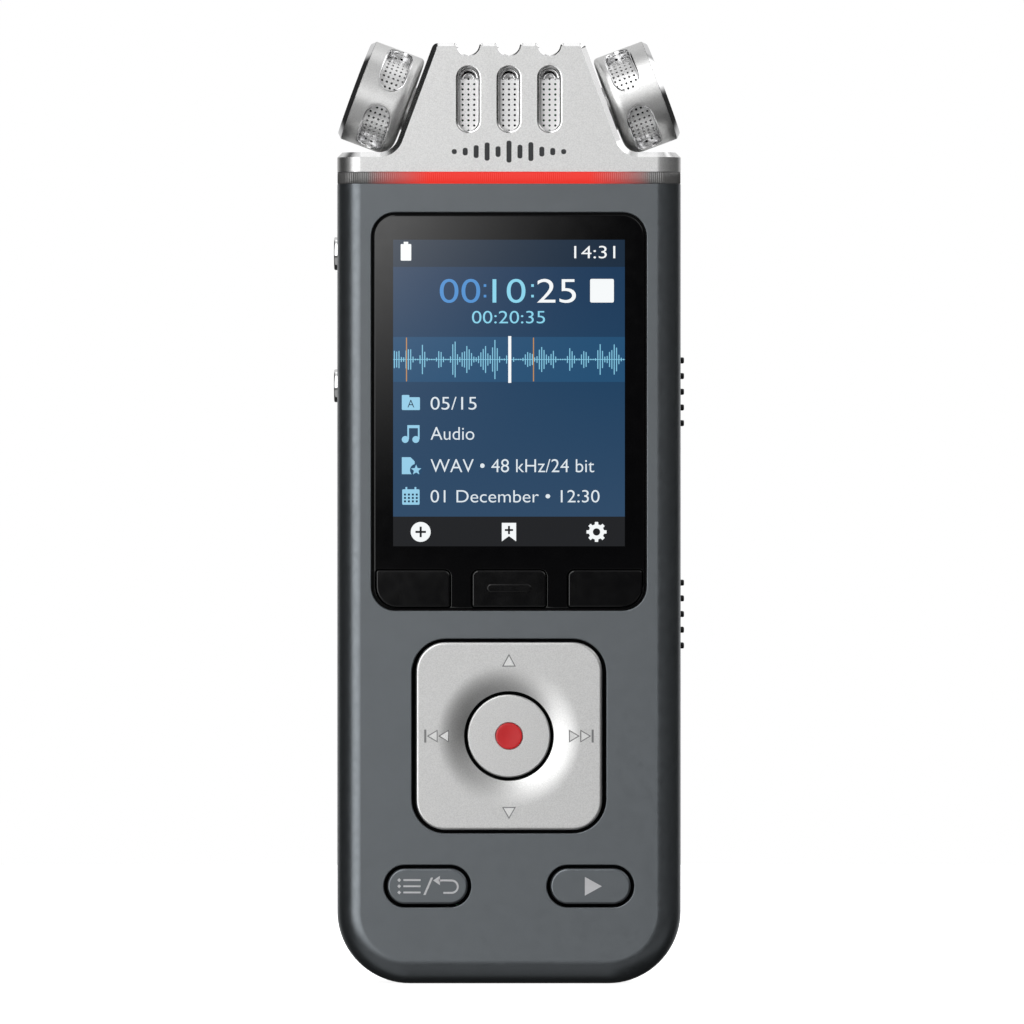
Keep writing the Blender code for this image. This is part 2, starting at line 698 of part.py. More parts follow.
def dome_places():
    places = [(x, softkey_middle_z()) for x in softkey_places().values()]
    places += [(side * CAPSULE_OFFSET, CAPSULE_Z) for side in (-1, 1)]
    return places + [(0.0, PAD_HEIGHT_ABOVE_BASE)]


def dome_sheet():
    obj = slab("dome_sheet", DOME_SHEET_WIDTH, MAT_TOP - MAT_BOTTOM, DOME_THICKNESS, 0.0, DOME_DEPTH,
               (MAT_TOP + MAT_BOTTOM) / 2)
    for x, z in dome_places():
        place = (x, at_depth(DOME_DEPTH + DOME_RISE), z)
        join(obj, cylinder("dome", DOME_RADIUS, DOME_THICKNESS, place, "Y", cutters, 12))
    return contact_steel(obj)


# -------------------------------------------------------------- electronics

def main_board():
    height = BOARD_TOP - BOARD_BOTTOM
    obj = slab("main_board", BOARD_WIDTH, height, BOARD_THICKNESS, 0.0, BOARD_DEPTH,
               BOARD_BOTTOM + height / 2)
    tab = slab("board_tab", BOARD_TAB_WIDTH, BOARD_TAB_HEIGHT, BOARD_THICKNESS - EPS, 0.0,
               BOARD_DEPTH + EPS / 2, BOARD_BOTTOM - BOARD_TAB_DROP, cutters)
    join(obj, tab)
    back = BOARD_DEPTH + BOARD_THICKNESS / 2
    chips = {"processor": (9.0, 9.0, 1.0, 0.0, 90.0), "memory": (7.0, 5.0, 0.9, 9.0, 88.0),
             "codec": (5.0, 5.0, 0.9, 6.0, 17.5), "charger": (4.0, 4.0, 0.9, -9.0, 17.5)}
    for name, (width, tall, rise, x, z) in chips.items():
        chip = slab(name, width * MM, tall * MM, rise * MM + CHIP_ROOT, x * MM, back, z * MM, cutters)
        join(obj, chip)
    return circuit_green(obj)


def battery_with_tray():
    width, depth, height = BATTERY_SIZE
    x, middle_depth, z = BATTERY_CENTRE
    cell = block("battery", BATTERY_SIZE, (x, at_depth(middle_depth), z), corner=BATTERY_CORNER, steps=3)
    finish(cell, "battery_wrap", (0.72, 0.74, 0.76), 0.35)
    front = middle_depth - depth / 2 - GAP - TRAY_WALL
    inside = (width + 2 * GAP, TRAY_RISE, height + 2 * GAP)
    tray = slab("battery_tray", inside[0] + 2 * TRAY_WALL, inside[2] + 2 * TRAY_WALL, TRAY_RISE, x,
                front, z)
    hollow = slab("tray_hollow", inside[0], inside[2], TRAY_RISE, x, front + TRAY_WALL, z, cutters)
    return contact_steel(cut(tray, hollow))


def loudspeaker():
    rim_rise = 0.2 * MM
    flange_back = -1.0 * MM
    profile = [(0.0, 0.0), (SPEAKER_RADIUS - 1.2 * MM, -0.4 * MM), (SPEAKER_RADIUS - 0.8 * MM, rim_rise),
               (SPEAKER_RADIUS, rim_rise), (SPEAKER_RADIUS, flange_back),
               (SPEAKER_BASKET_RADIUS, flange_back), (SPEAKER_BASKET_RADIUS, -SPEAKER_BASKET_DEPTH),
               (0.0, -SPEAKER_BASKET_DEPTH)]
    obj = turned("loudspeaker", profile, False, steps=20)
    rim_depth = BODY_DEPTH - WALL - 0.5 * MM
    obj.location = (0.0, at_depth(rim_depth - rim_rise), SPEAKER_Z)
    obj.rotation_euler = (-math.pi / 2, 0, 0)
    return dark_plastic(obj)


def sockets():
    """Two 3.5 mm jacks, each with a bright collar in the left side."""
    inner_wall = BODY_WIDTH / 2 - WALL
    depth = at_depth(SIDE_PART_DEPTH)
    for name, height in JACK_HEIGHTS.items():
        near = -inner_wall + GAP
        size = (JACK_BODY_LENGTH, SIDE_PART_THICKNESS, JACK_BODY_WIDTH)
        jack = block(f"{name}_jack", size, (near + size[0] / 2, depth, height))
        bore_length = 2 * (JACK_BODY_LENGTH - 1.5 * MM)
        cut(jack, cylinder("jack_bore", JACK_BORE, bore_length, (near, depth, height), "X", cutters,
                           INNER_STEPS))
        dark_plastic(jack)
        proud_end = -BODY_WIDTH / 2 - SIDE_PROUD
        length = near - GAP - proud_end
        chamfer = 0.15 * MM
        profile = [(JACK_COLLAR - chamfer, length), (JACK_COLLAR, length - chamfer), (JACK_COLLAR, 0.0),
                   (JACK_BORE, 0.0), (JACK_BORE, length)]
        collar = turned(f"{name}_jack_collar", profile, True, steps=20)
        collar.location = (near - GAP, depth, height)
        collar.rotation_euler = (0, -math.pi / 2, 0)
        satin_silver(collar)


def side_sliders():
    """Two slide switches in the right side, each knob with five grip ridges."""
    inner_wall = BODY_WIDTH / 2 - WALL
    depth = at_depth(SIDE_PART_DEPTH)
    flange_outer = inner_wall - GAP
    flange_inner = flange_outer - KNOB_FLANGE_THICKNESS
    face = BODY_WIDTH / 2 - KNOB_SINK
    inner = (flange_outer + flange_inner) / 2
    tip = BODY_WIDTH / 2 + SIDE_PROUD
    root = face - SIDE_PROUD
    for name, height in SLIDER_HEIGHTS.items():
        knob = block(f"{name}_slider", (face - inner, KNOB_WIDTH, KNOB_LENGTH),
                     ((face + inner) / 2, depth, height))
        flange = (KNOB_FLANGE_THICKNESS, KNOB_WIDTH + 2 * KNOB_FLANGE_LIP, KNOB_FLANGE_LENGTH)
        join(knob, block("knob_flange", flange, (inner, depth, height), cutters))
        for place in range(RIDGE_COUNT):
            z = height + (place - (RIDGE_COUNT - 1) / 2) * RIDGE_PITCH
            ridge = block("ridge", (tip - root, KNOB_WIDTH - 0.2 * MM, RIDGE_THICKNESS),
                          ((tip + root) / 2, depth, z), cutters, axis=1, corner=0.2 * MM, steps=2)
            join(knob, ridge)
        dark_plastic(knob)
        switch_outer = flange_inner - GAP - KNOB_SINK
        size = (SWITCH_WIDTH, SIDE_PART_THICKNESS, SWITCH_LENGTH)
        switch = block(f"{name}_switch", size, (switch_outer - size[0] / 2, depth, height))
        dark_plastic(switch)


def usb_socket():
    """A USB-C shell, open below, with its tongue inside."""
    y = at_depth(USB_DEPTH)
    top = USB_BOTTOM + USB_LENGTH
    obj = block("usb_socket", (USB_WIDTH, USB_THICKNESS, USB_LENGTH), (0.0, y, top - USB_LENGTH / 2),
                corner=USB_THICKNESS / 2 - EPS, steps=5)
    end = 1.0 * MM
    inside = (USB_WIDTH - 2 * USB_WALL, USB_THICKNESS - 2 * USB_WALL, 2 * (USB_LENGTH - end))
    cut(obj, block("usb_hollow", inside, (0.0, y, USB_BOTTOM), cutters, corner=inside[1] / 2 - EPS,
                   steps=5))
    tongue = (USB_TONGUE_WIDTH, USB_TONGUE_THICKNESS, USB_TONGUE_LENGTH + end)
    join(obj, block("usb_tongue", tongue, (0.0, y, top - USB_WALL / 3 - tongue[2] / 2), cutters))
    return contact_steel(obj)


def tripod_insert():
    profile = [(TRIPOD_RADIUS, 0.0), (TRIPOD_RADIUS, -TRIPOD_LENGTH), (0.0, -TRIPOD_LENGTH),
               (0.0, -TRIPOD_BORE_LENGTH), (TRIPOD_BORE, -TRIPOD_BORE_LENGTH), (TRIPOD_BORE, 0.0)]
    obj = turned("tripod_insert", profile, True, steps=24)
    obj.location = (0.0, BACK, TRIPOD_Z)
    obj.rotation_euler = (-math.pi / 2, 0, 0)
    return finish(obj, "brass", (0.72, 0.53, 0.24), 0.3, 1.0)


# --------------------------------------------------------------------- head

def flank_x(z):
    """Half-width of the head's middle block at a height."""
    return FLANK_TOP_X + (HEAD_TOP - z) * math.tan(FLANK_LEAN)


def head_outline():
    """Shoulders, leaning flanks and a top with three round notches, as (x, z) points."""
    lean = math.degrees(FLANK_LEAN)
    fillet_z = SHOULDER_TOP + HEAD_FILLET
    fillet_x = flank_x(fillet_z) + HEAD_FILLET / math.cos(FLANK_LEAN)
    half = BODY_WIDTH / 2
    right = [(half, HEAD_BOTTOM), (half, SHOULDER_TOP)]
    right += arc((fillet_x, fillet_z), HEAD_FILLET, 270, 180 + lean, 6)
    right.append((FLANK_TOP_X, HEAD_TOP))
    top = []
    for place in (1, 0, -1):
        top += arc((place * SLOT_PITCH, HEAD_TOP), NOTCH_RADIUS, 360, 180, 8)
    left = [(-x, z) for x, z in reversed(right)]
    return right + top + left


def head_hollow_outline():
    """The hollow in the head, open at the bottom."""
    low = SHOULDER_TOP - HEAD_WALL
    high = HEAD_TOP - NOTCH_RADIUS - HEAD_ROOF
    brim = BODY_WIDTH / 2 - 2 * HEAD_WALL
    right = [(brim, HEAD_BOTTOM - 1 * MM), (brim, low), (flank_x(low) - HEAD_FLANK_WALL, low),
             (flank_x(high) - HEAD_FLANK_WALL, high)]
    return right + [(-x, z) for x, z in reversed(right)]


def head_shell():
    obj = prism("head_shell", head_outline(), FRONT, BACK, parts)
    height = 2 * (HEAD_TOP - HEAD_BOTTOM)
    plan = block("head_plan", (BODY_WIDTH, BODY_DEPTH, height), (0.0, MIDDLE, HEAD_TOP), cutters,
                 corner=BODY_EDGE, steps=4)
    boolean(obj, plan, "INTERSECT")
    cut(obj, prism("head_hollow", head_hollow_outline(), FRONT + HEAD_WALL, BACK - HEAD_WALL, cutters))
    for place in (-1, 0, 1):
        slot = (SLOT_WIDTH, 2 * BODY_DEPTH, SLOT_TOP - SLOT_BOTTOM)
        cut(obj, block("head_slot", slot, (place * SLOT_PITCH, MIDDLE, (SLOT_TOP + SLOT_BOTTOM) / 2),
                       cutters, axis=1, corner=SLOT_WIDTH / 2 - EPS, steps=6))
    return obj


def centre_grilles():
    """Perforated plates behind the head's slots, front and back."""
    height = SLOT_TOP - SLOT_BOTTOM + 0.5 * MM
    z = (SLOT_TOP + SLOT_BOTTOM) / 2
    thickness = 0.4 * MM
    depths = {"front": HEAD_WALL + GAP, "rear": BODY_DEPTH - HEAD_WALL - GAP - thickness}
    for side, depth in depths.items():
        satin_silver(slab(f"centre_grille_{side}", 15.2 * MM, height, thickness, 0.0, depth, z))


def centre_microphone():
    z = (SLOT_TOP + SLOT_BOTTOM) / 2 - 0.3 * MM
    centre = (0.0, at_depth(5.0 * MM), z)
    radius = 3.5 * MM
    contact_steel(cylinder("centre_mic_capsule", radius, 4.0 * MM, centre, "Y", parts, INNER_STEPS))
    boot = cylinder("centre_mic_boot", 4.7 * MM, 2.8 * MM, centre, "Y", parts, INNER_STEPS)
    hole = cylinder("boot_hole", radius + GAP, 6 * MM, centre, "Y", cutters, INNER_STEPS)
    soft_rubber(cut(boot, hole))
    bottom = HEAD_BOTTOM + 0.6 * MM
    top = 120.4 * MM
    board = slab("mic_board", 17.6 * MM, top - bottom, 1.0 * MM, 0.0, 8.6 * MM, (top + bottom) / 2)
    amplifier = slab("mic_amplifier", 4 * MM, 4 * MM, 1.3 * MM, 0.0, 9.1 * MM, 114 * MM, cutters)
    circuit_green(join(board, amplifier))


# --------------------------------------------------------------------- pods

def pod_shell(name, axis):
    profile = [(POD_RADIUS, POD_OUTER)]
    corner = (POD_RADIUS - POD_FILLET, POD_INNER + POD_FILLET)
    profile += arc(corner, POD_FILLET, 0, -90, 4)
    floor = POD_INNER + POD_FLOOR
    profile += [(POD_SPIGOT, POD_INNER), (POD_SPIGOT, POD_SPIGOT_END),
                (POD_SPIGOT_BORE, POD_SPIGOT_END), (POD_SPIGOT_BORE, floor), (POD_BORE, floor),
                (POD_BORE, POD_OUTER)]
    obj = set_parent(turned(name, profile, True), axis)
    for quarter in range(4):
        angle = math.radians(45 + 90 * quarter)
        slot = block("pod_slot", (POD_SLOT_LENGTH, 5 * MM, POD_SLOT_WIDTH), (0, 0, 0), cutters, axis=1,
                     corner=POD_SLOT_WIDTH / 2 - EPS, steps=6)
        slot.location = (POD_BORE * math.sin(angle), -POD_BORE * math.cos(angle), POD_SLOT_PLACE)
        slot.rotation_euler = (0, 0, angle)
        cut(obj, set_parent(slot, axis))
    return satin_silver(obj)


def pod_pieces(side, sign):
    """One microphone pod: shell, rim, grilles, capsule and its boot, on the pod's own axis."""
    turn = sign * (math.pi / 2 - FLANK_LEAN)
    axis = empty(f"{side}_pod_axis", (sign * POD_X, MIDDLE, POD_Z), (0, turn, 0))
    pod_shell(f"{side}_pod_shell", axis)
    inside = SLEEVE_RADIUS - SLEEVE_SKIN
    rim = [(RIM_RADIUS, RIM_FRONT), (POD_RADIUS, RIM_BACK), (SLEEVE_RADIUS, RIM_BACK),
           (SLEEVE_RADIUS, RIM_SKIRT), (inside, RIM_SKIRT), (inside, RIM_FRONT)]
    polished(set_parent(turned(f"{side}_pod_rim", rim, True), axis))
    tube = [(SLEEVE_RADIUS, SLEEVE_TOP), (SLEEVE_RADIUS, SLEEVE_BOTTOM), (inside, SLEEVE_BOTTOM),
            (inside, SLEEVE_TOP)]
    satin_silver(set_parent(turned(f"{side}_pod_grille", tube, True), axis))
    face_grille = cylinder(f"{side}_face_grille", inside - GAP, SLEEVE_SKIN, (0, 0, FACE_GRILLE_PLACE))
    satin_silver(set_parent(face_grille, axis))
    capsule = cylinder(f"{side}_mic_capsule", 3.0 * MM, 3.6 * MM, (0, 0, 0), steps=INNER_STEPS)
    contact_steel(set_parent(capsule, axis))
    boot = [(4.6 * MM, 1.4 * MM), (4.6 * MM, -1.4 * MM), (3.3 * MM, -1.4 * MM), (3.3 * MM, 1.4 * MM)]
    soft_rubber(set_parent(turned(f"{side}_mic_boot", boot, True, steps=INNER_STEPS), axis))
    seat = cylinder(f"{side}_pod_seat", POD_SPIGOT + GAP, 5 * MM, (0, 0, POD_SPIGOT_END), "Z", cutters, 24)
    return set_parent(seat, axis)


# ----------------------------------------------------------------- assembly

def build():
    clear_scene()
    front_housing()
    rear_housing()
    housing_screws()
    light_band()
    led_strip()
    display_lens()
    lcd_panel()
    softkeys()
    capsule_keys()
    pivot = empty("nav_pivot", pad_pivot())
    direction_pad(pivot)
    pivot_ring(pivot)
    record_button(pivot)
    key_mat()
    dome_sheet()
    main_board()
    battery_with_tray()
    loudspeaker()
    sockets()
    side_sliders()
    usb_socket()
    tripod_insert()
    head = head_shell()
    cut(head, pod_pieces("left", -1), pod_pieces("right", 1))
    satin_silver(head)
    centre_grilles()
    centre_microphone()


build()
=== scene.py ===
import random
from collections import namedtuple
from math import asin, atan2, copysign, cos, degrees, exp, hypot, pi, radians, sin, sqrt, tan

import bmesh
import bpy
import numpy as np
from mathutils import Matrix, Vector

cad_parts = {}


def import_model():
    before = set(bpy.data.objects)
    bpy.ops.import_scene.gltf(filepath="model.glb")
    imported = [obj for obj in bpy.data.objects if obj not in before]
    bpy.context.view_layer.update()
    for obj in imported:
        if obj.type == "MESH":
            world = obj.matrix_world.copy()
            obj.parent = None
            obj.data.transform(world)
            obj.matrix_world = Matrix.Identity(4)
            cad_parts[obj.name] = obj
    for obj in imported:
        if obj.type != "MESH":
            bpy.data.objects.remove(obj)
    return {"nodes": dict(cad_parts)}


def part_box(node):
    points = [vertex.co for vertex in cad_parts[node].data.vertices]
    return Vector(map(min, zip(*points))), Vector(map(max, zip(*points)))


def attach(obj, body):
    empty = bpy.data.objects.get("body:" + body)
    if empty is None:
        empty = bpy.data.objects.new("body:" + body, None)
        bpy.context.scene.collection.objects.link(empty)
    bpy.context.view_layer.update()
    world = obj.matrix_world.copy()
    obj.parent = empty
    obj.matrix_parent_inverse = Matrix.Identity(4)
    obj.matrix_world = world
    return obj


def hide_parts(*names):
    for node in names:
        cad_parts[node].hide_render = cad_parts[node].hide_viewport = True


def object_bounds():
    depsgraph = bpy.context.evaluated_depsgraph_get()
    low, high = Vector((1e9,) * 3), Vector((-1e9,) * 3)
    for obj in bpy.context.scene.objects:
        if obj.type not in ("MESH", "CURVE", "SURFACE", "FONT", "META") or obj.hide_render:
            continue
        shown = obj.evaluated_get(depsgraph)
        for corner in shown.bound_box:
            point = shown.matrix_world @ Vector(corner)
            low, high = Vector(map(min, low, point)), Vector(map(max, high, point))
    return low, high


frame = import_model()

# The looks of the portable field recorder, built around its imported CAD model.
# Places and sizes are in millimetres, which Shape.build() turns into metres.
# +Z is up and the front faces -Y.

cad_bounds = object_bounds()

MM = 0.001
SHARP = radians(34)    # an edge that bends more than this stays sharp
MERGE = 1e-7           # points this close, in metres, become one
HAIR = 0.001           # keeps the two arcs of a full round end apart

Box = namedtuple("Box", "lo hi mid size")


def box(node):
    lo, hi = (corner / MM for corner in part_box(node))
    return Box(lo, hi, (lo + hi) / 2, hi - lo)


# Places that the CAD model gives
FRONT_SHELL = box("front_housing")
REAR_SHELL = box("rear_housing")
HEAD = box("head_shell")
LENS = box("display_lens")
PAD = box("nav_plate")
RECORD = box("record_button")
DOT = box("record_dot")
FRONT, BACK = FRONT_SHELL.lo.y, REAR_SHELL.hi.y
MIDDLE = (FRONT + BACK) / 2
HALF_WIDTH = FRONT_SHELL.hi.x
BODY_TOP = FRONT_SHELL.hi.z
PARTING = (FRONT_SHELL.hi.y + REAR_SHELL.lo.y) / 2

# Forms that the boxes can't give, the same as in the CAD model
BODY_CORNER, BODY_EDGE = 9.6, 3.2
WALL = 1.4
SEAM = 0.12
WINDOW_CORNER, WINDOW_GAP = 2.9, 0.28
PAD_CORNER = 3.9
PAD_OPENING, PAD_OPENING_CORNER = 25.75, 4.5
DISH_RADIUS, DISH_DEPTH, DISH_CURVE = 9.7, 0.44, 2.25
RECORD_HOLE = 5.95
# MARK_LINE is the width of the painted groove shade left round each filled mark.
MARK_DEPTH = MARK_LINE = 0.13
CAPSULE_WIDTH, CAPSULE_HEIGHT = 10.7, 4.75
CAPSULE_OFFSET, CAPSULE_Z = 10.8, 13.0
CAPSULE_CLEARANCE = 0.42
SHOULDER_TOP = 110.3
FLANK_LEAN = radians(20.4)
FLANK_TOP_X = 10.0
HEAD_FILLET, HEAD_TOP_CORNER = 2.6, 0.85
HEAD_WALL = 1.5
HEAD_BEVEL = 0.66
TOP_SHARE, NOTCH_SHARE = 0.62, 0.25    # how much of the bevel the top and its notches get
NOTCH_RADIUS, NOTCH_DEPTH = 1.45, 1.6
LAND_CORNER, LAND_SUPPORT = 0.45, 0.04
SLOT_PITCH, SLOT_WIDTH = 5.38, 2.62
SLOT_BOTTOM, SLOT_TOP = 113.0, 121.6
POD_RADIUS, POD_BORE = 6.9, 5.6
POD_FILLET, POD_FILLET_TOP = 2.1, 0.6
POD_INNER = -4.05
SLEEVE_RADIUS, SHEET = 5.56, 0.2
RIM_BACK, RIM_FRONT = 2.86, 3.44
SCREEN_BOTTOM, SCREEN_TOP, SCREEN_HALF = 58.05, 98.67, 15.35


# ---------------------------------------------------------------- materials

# Noise features per metre, the spread of the gloss, and the range that noise mostly stays in
PATCHES, GLOSS_PATCHES, GLOSS_SPREAD, SPECKLE = 420, 1300, 0.04, 8000
NOISE_RANGE = (0.3, 0.7)


def add_node(tree, kind, inputs=None, output=0, **settings):
    """A new node's output; each input is a value, or the output of another node."""
    node = tree.nodes.new(f"ShaderNode{kind}")
    for name, value in settings.items():
        setattr(node, name, value)
    for socket, value in (inputs or {}).items():
        if isinstance(value, bpy.types.NodeSocket):
            tree.links.new(value, node.inputs[socket])
        else:
            node.inputs[socket].default_value = value
    return node.outputs[output] if node.outputs else None


def compute(tree, operation, first, *others):
    """One operation on the first value, or on it and each of the others in turn."""
    if not others:
        return add_node(tree, "Math", {0: first}, operation=operation)
    for other in others:
        first = add_node(tree, "Math", {0: first, 1: other}, operation=operation)
    return first


def map_range(tree, value, start, end, low=0.0, high=1.0, kind="LINEAR"):
    sockets = {"Value": value, "From Min": start, "From Max": end, "To Min": low, "To Max": high}
    return add_node(tree, "MapRange", sockets, "Result", interpolation_type=kind)


def mix_colors(tree, share, first, second):
    return add_node(tree, "Mix", {0: share, 6: first, 7: second}, 2, data_type="RGBA")


def axes(tree, source="Object"):
    """The x, y and z of a coordinate."""
    place = add_node(tree, "TexCoord", output=source)
    return add_node(tree, "SeparateXYZ", {0: place}).node.outputs


def empty_tree(owner):
    owner.use_nodes = True
    owner.node_tree.nodes.clear()
    return owner.node_tree


def shader_inputs(made):
    return made.node_tree.nodes["Principled BSDF"].inputs


def drive(made, socket, value):
    """Links a node's output to a socket of the shader."""
    made.node_tree.links.new(value, shader_inputs(made)[socket])
    return made


def new_material(name, color, roughness, metallic=0.0, **sockets):
    """A Principled material; the sockets are values set on the shader itself."""
    made = bpy.data.materials.new(name)
    made.use_nodes = True
    sockets.update(Base_Color=(*color, 1.0), Roughness=roughness, Metallic=metallic)
    for socket, value in sockets.items():
        shader_inputs(made)[socket.replace("_", " ")].default_value = value
    return made


def noise(made, scale, detail=3.0):
    """Noise in the piece's own coordinates."""
    tree = made.node_tree
    place = add_node(tree, "TexCoord", output="Object")
    return add_node(tree, "TexNoise", {"Vector": place, "Scale": scale, "Detail": detail}, "Fac")


def mottle(made, scale, amount, detail=3.0):
    """Varies the colour a little, from patch to patch."""
    color = tuple(shader_inputs(made)["Base Color"].default_value)[:3]
    ends = [(*(min(1.0, c * (1 + change)) for c in color), 1.0) for change in (-amount, amount)]
    share = map_range(made.node_tree, noise(made, scale, detail), *NOISE_RANGE)
    return drive(made, "Base Color", mix_colors(made.node_tree, share, *ends))


def uneven_gloss(made, scale, spread):
    middle = shader_inputs(made)["Roughness"].default_value
    return drive(made, "Roughness", map_range(made.node_tree, noise(made, scale), *NOISE_RANGE,
                                              middle - spread, middle + spread))


def grain(made, scale, height, detail=2.0):
    """A fine relief; the height is in metres."""
    sockets = {"Strength": 1.0, "Distance": height, "Height": noise(made, scale, detail)}
    return drive(made, "Normal", add_node(made.node_tree, "Bump", sockets))


def textured(name, color, roughness, metallic, patch, scale, height, **sockets):
    """The common finish: slightly uneven colour and gloss over a fine surface grain."""
    made = new_material(name, color, roughness, metallic, **sockets)
    mottle(made, PATCHES, patch)
    uneven_gloss(made, GLOSS_PATCHES, GLOSS_SPREAD)
    return grain(made, scale, height)


def grained(name, color, roughness):
    """Blasted metal: a fine speckle in the colour and shallow grain."""
    made = new_material(name, color, roughness, 1.0)
    mottle(made, SPECKLE, 0.09, detail=1.0)
    uneven_gloss(made, 3000, 0.012)
    return grain(made, SPECKLE, 1.0e-6, detail=1.0)


def glossy(name, color, roughness, metallic, scale, spread, **sockets):
    return uneven_gloss(new_material(name, color, roughness, metallic, **sockets), scale, spread)


def glowing(name, color):
    """A lit part of the screen under its glass."""
    return new_material(name, (0.004, 0.004, 0.005), 0.05, Emission_Color=(*color, 1.0),
                        Emission_Strength=1.0)


def srgb(*values):
    """Linear colour from the usual 0 to 255 values."""
    return tuple((c / 255 / 12.92) if c < 11 else ((c / 255 + 0.055) / 1.055) ** 2.4 for c in values)


def light_band_material():
    """Smoked plastic that glows red across the middle of the front and fades to the sides."""
    smoke, unlit_red = (0.22, 0.218, 0.215), (0.08, 0.004, 0.004, 1.0)
    made = new_material("light_band", smoke, 0.3, 0.5, Emission_Color=(0.83, 0.030, 0.018, 1.0))
    tree = made.node_tree
    x, y, _ = axes(tree)
    across = map_range(tree, compute(tree, "ABSOLUTE", x), 18.8 * MM, 10.6 * MM, 0.0, 0.96)
    along = map_range(tree, y, MIDDLE * MM, (FRONT + BODY_EDGE) * MM, kind="SMOOTHSTEP")
    glow = compute(tree, "MULTIPLY", across, along)
    drive(made, "Emission Strength", glow)
    drive(made, "Base Color", mix_colors(tree, glow, (*smoke, 1.0), unlit_red))
    return grain(made, 3000, 3e-6)


def circuit_material():
    """Solder mask over a pattern of fine copper traces."""
    made = new_material("circuit_board", (0.012, 0.11, 0.05), 0.4)
    tree = made.node_tree
    place = add_node(tree, "TexCoord", output="Object")
    upright = add_node(tree, "Mapping", {"Vector": place, "Rotation": (pi / 2, 0, 0)})
    traces = {"Vector": upright, "Scale": 240, "Color1": (0.010, 0.10, 0.045, 1.0),
              "Color2": (0.012, 0.12, 0.055, 1.0), "Mortar": (0.03, 0.20, 0.08, 1.0)}
    drive(made, "Base Color", add_node(tree, "TexBrick", traces))
    return grain(made, 1800, 8e-6)


def screen_material():
    """The blue picture behind the glass, a little lighter towards its bottom."""
    made = glowing("screen_blue", srgb(34, 64, 95))
    tree = made.node_tree
    height = map_range(tree, axes(tree)[2], SCREEN_BOTTOM * MM, SCREEN_TOP * MM)
    color = add_node(tree, "ValToRGB", {"Fac": height})
    stops = color.node.color_ramp.elements
    stops.new(0.55)
    for stop, value in zip(stops, (srgb(50, 76, 104), srgb(32, 65, 96), srgb(28, 56, 87))):
        stop.color = (*value, 1.0)
    return drive(made, "Emission Color", color)


# Name, colour, roughness, metallic, patchiness, grains per metre and their height in metres
paint = textured("anthracite", (0.168, 0.184, 0.197), 0.33, 0.85, 0.02, 5200, 1.6e-6)
mesh_silver = textured("mesh_silver", (0.97, 0.97, 0.97), 0.38, 0.7, 0.02, 2500, 1e-6)
dark = textured("dark_plastic", (0.022, 0.023, 0.025), 0.48, 0.0, 0.06, 2600, 14e-6)
knob_dark = textured("knob_plastic", (0.012, 0.012, 0.013), 0.4, 0.0, 0.06, 3200, 6e-6)
steel = textured("contact_steel", (0.62, 0.62, 0.63), 0.28, 1.0, 0.04, 2200, 3e-6)
brass = textured("brass", (0.74, 0.55, 0.26), 0.28, 1.0, 0.05, 1800, 3e-6)
rubber = textured("soft_rubber", (0.010, 0.010, 0.011), 0.75, 0.0, 0.08, 1500, 4e-6, Specular_IOR_Level=0.15)
wrap = textured("battery_wrap", (0.60, 0.63, 0.67), 0.32, 0.0, 0.03, 900, 8e-6)
lamp = textured("led_strip", (0.85, 0.84, 0.76), 0.4, 0.0, 0.03, 1500, 5e-6)
red = textured("record_red", (0.78, 0.016, 0.022), 0.34, 0.0, 0.05, 2600, 4e-6)
print_grey = textured("printed_grey", (0.70, 0.70, 0.72), 0.5, 0.0, 0.03, 3000, 3e-6)
print_dark = textured("printed_dark", (0.035, 0.037, 0.04), 0.45, 0.0, 0.05, 3000, 3e-6)
lcd_glass = textured("lcd_panel", (0.02, 0.05, 0.09), 0.2, 0.0, 0.05, 900, 1e-6)
silver = grained("satin_silver", (0.83, 0.83, 0.825), 0.40)
pad_silver = grained("pad_silver", (0.73, 0.73, 0.725), 0.38)
inlay = grained("icon_inlay", (0.88, 0.88, 0.875), 0.42)
# Dark grey for the floors of the pad's mark grooves: painted groove shade.
groove_painted_shade = grained("icon_groove_painted_shade", (0.26, 0.26, 0.265), 0.42)
# Name, colour, roughness, metallic, gloss patches per metre and their spread
polished = glossy("polished_steel", (0.88, 0.88, 0.885), 0.09, 1.0, 900, 0.02)
edge_polish = glossy("polished_edge", (0.9, 0.9, 0.9), 0.17, 1.0, 900, 0.02)
gloss = glossy("gloss_black", (0.004, 0.004, 0.0045), 0.045, 0.0, 500, 0.012)
key_gloss = glossy("key_gloss", (0.005, 0.005, 0.0055), 0.09, 0.0, 500, 0.02)
# Black for the seam lip, the window gasket and the centre capsule; it is also painted shade on the walls of
# the pad's hole and on the record cap's side and skirt.
black_and_painted_shade = glossy("gap_black_and_painted_shade", (0.004, 0.004, 0.0045), 0.5, 0.0, 600, 0.03, Specular_IOR_Level=0.1)
board = circuit_material()
band_plastic = light_band_material()


# ------------------------------------------------------------------- shapes

# Ways to lay a flat (u, v) point and its depth w, seen from each side

def facing(u, v, w):
    return (u, w, v)


def from_back(u, v, w):
    return (u, -w, v)


def from_left(u, v, w):
    return (w, u, v)


def from_right(u, v, w):
    return (-w, u, v)


def from_below(u, v, w):
    return (u, v, w)


def framed(matrix):
    """Lays points in a frame of their own."""
    return lambda u, v, w: matrix @ Vector((u, v, w))


def towards(point, direction):
    """A frame at a point whose Z axis has that direction."""
    return Matrix.Translation(point) @ Vector(direction).to_track_quat("Z", "Y").to_matrix().to_4x4()


def sweep(steps, start=0.0, end=90.0):
    """Even angles from start to end, which are in degrees and both included."""
    return [radians(start + (end - start) * step / steps) for step in range(steps + 1)]


def polar(centre, radius, angle):
    return (centre[0] + radius * cos(angle), centre[1] + radius * sin(angle))


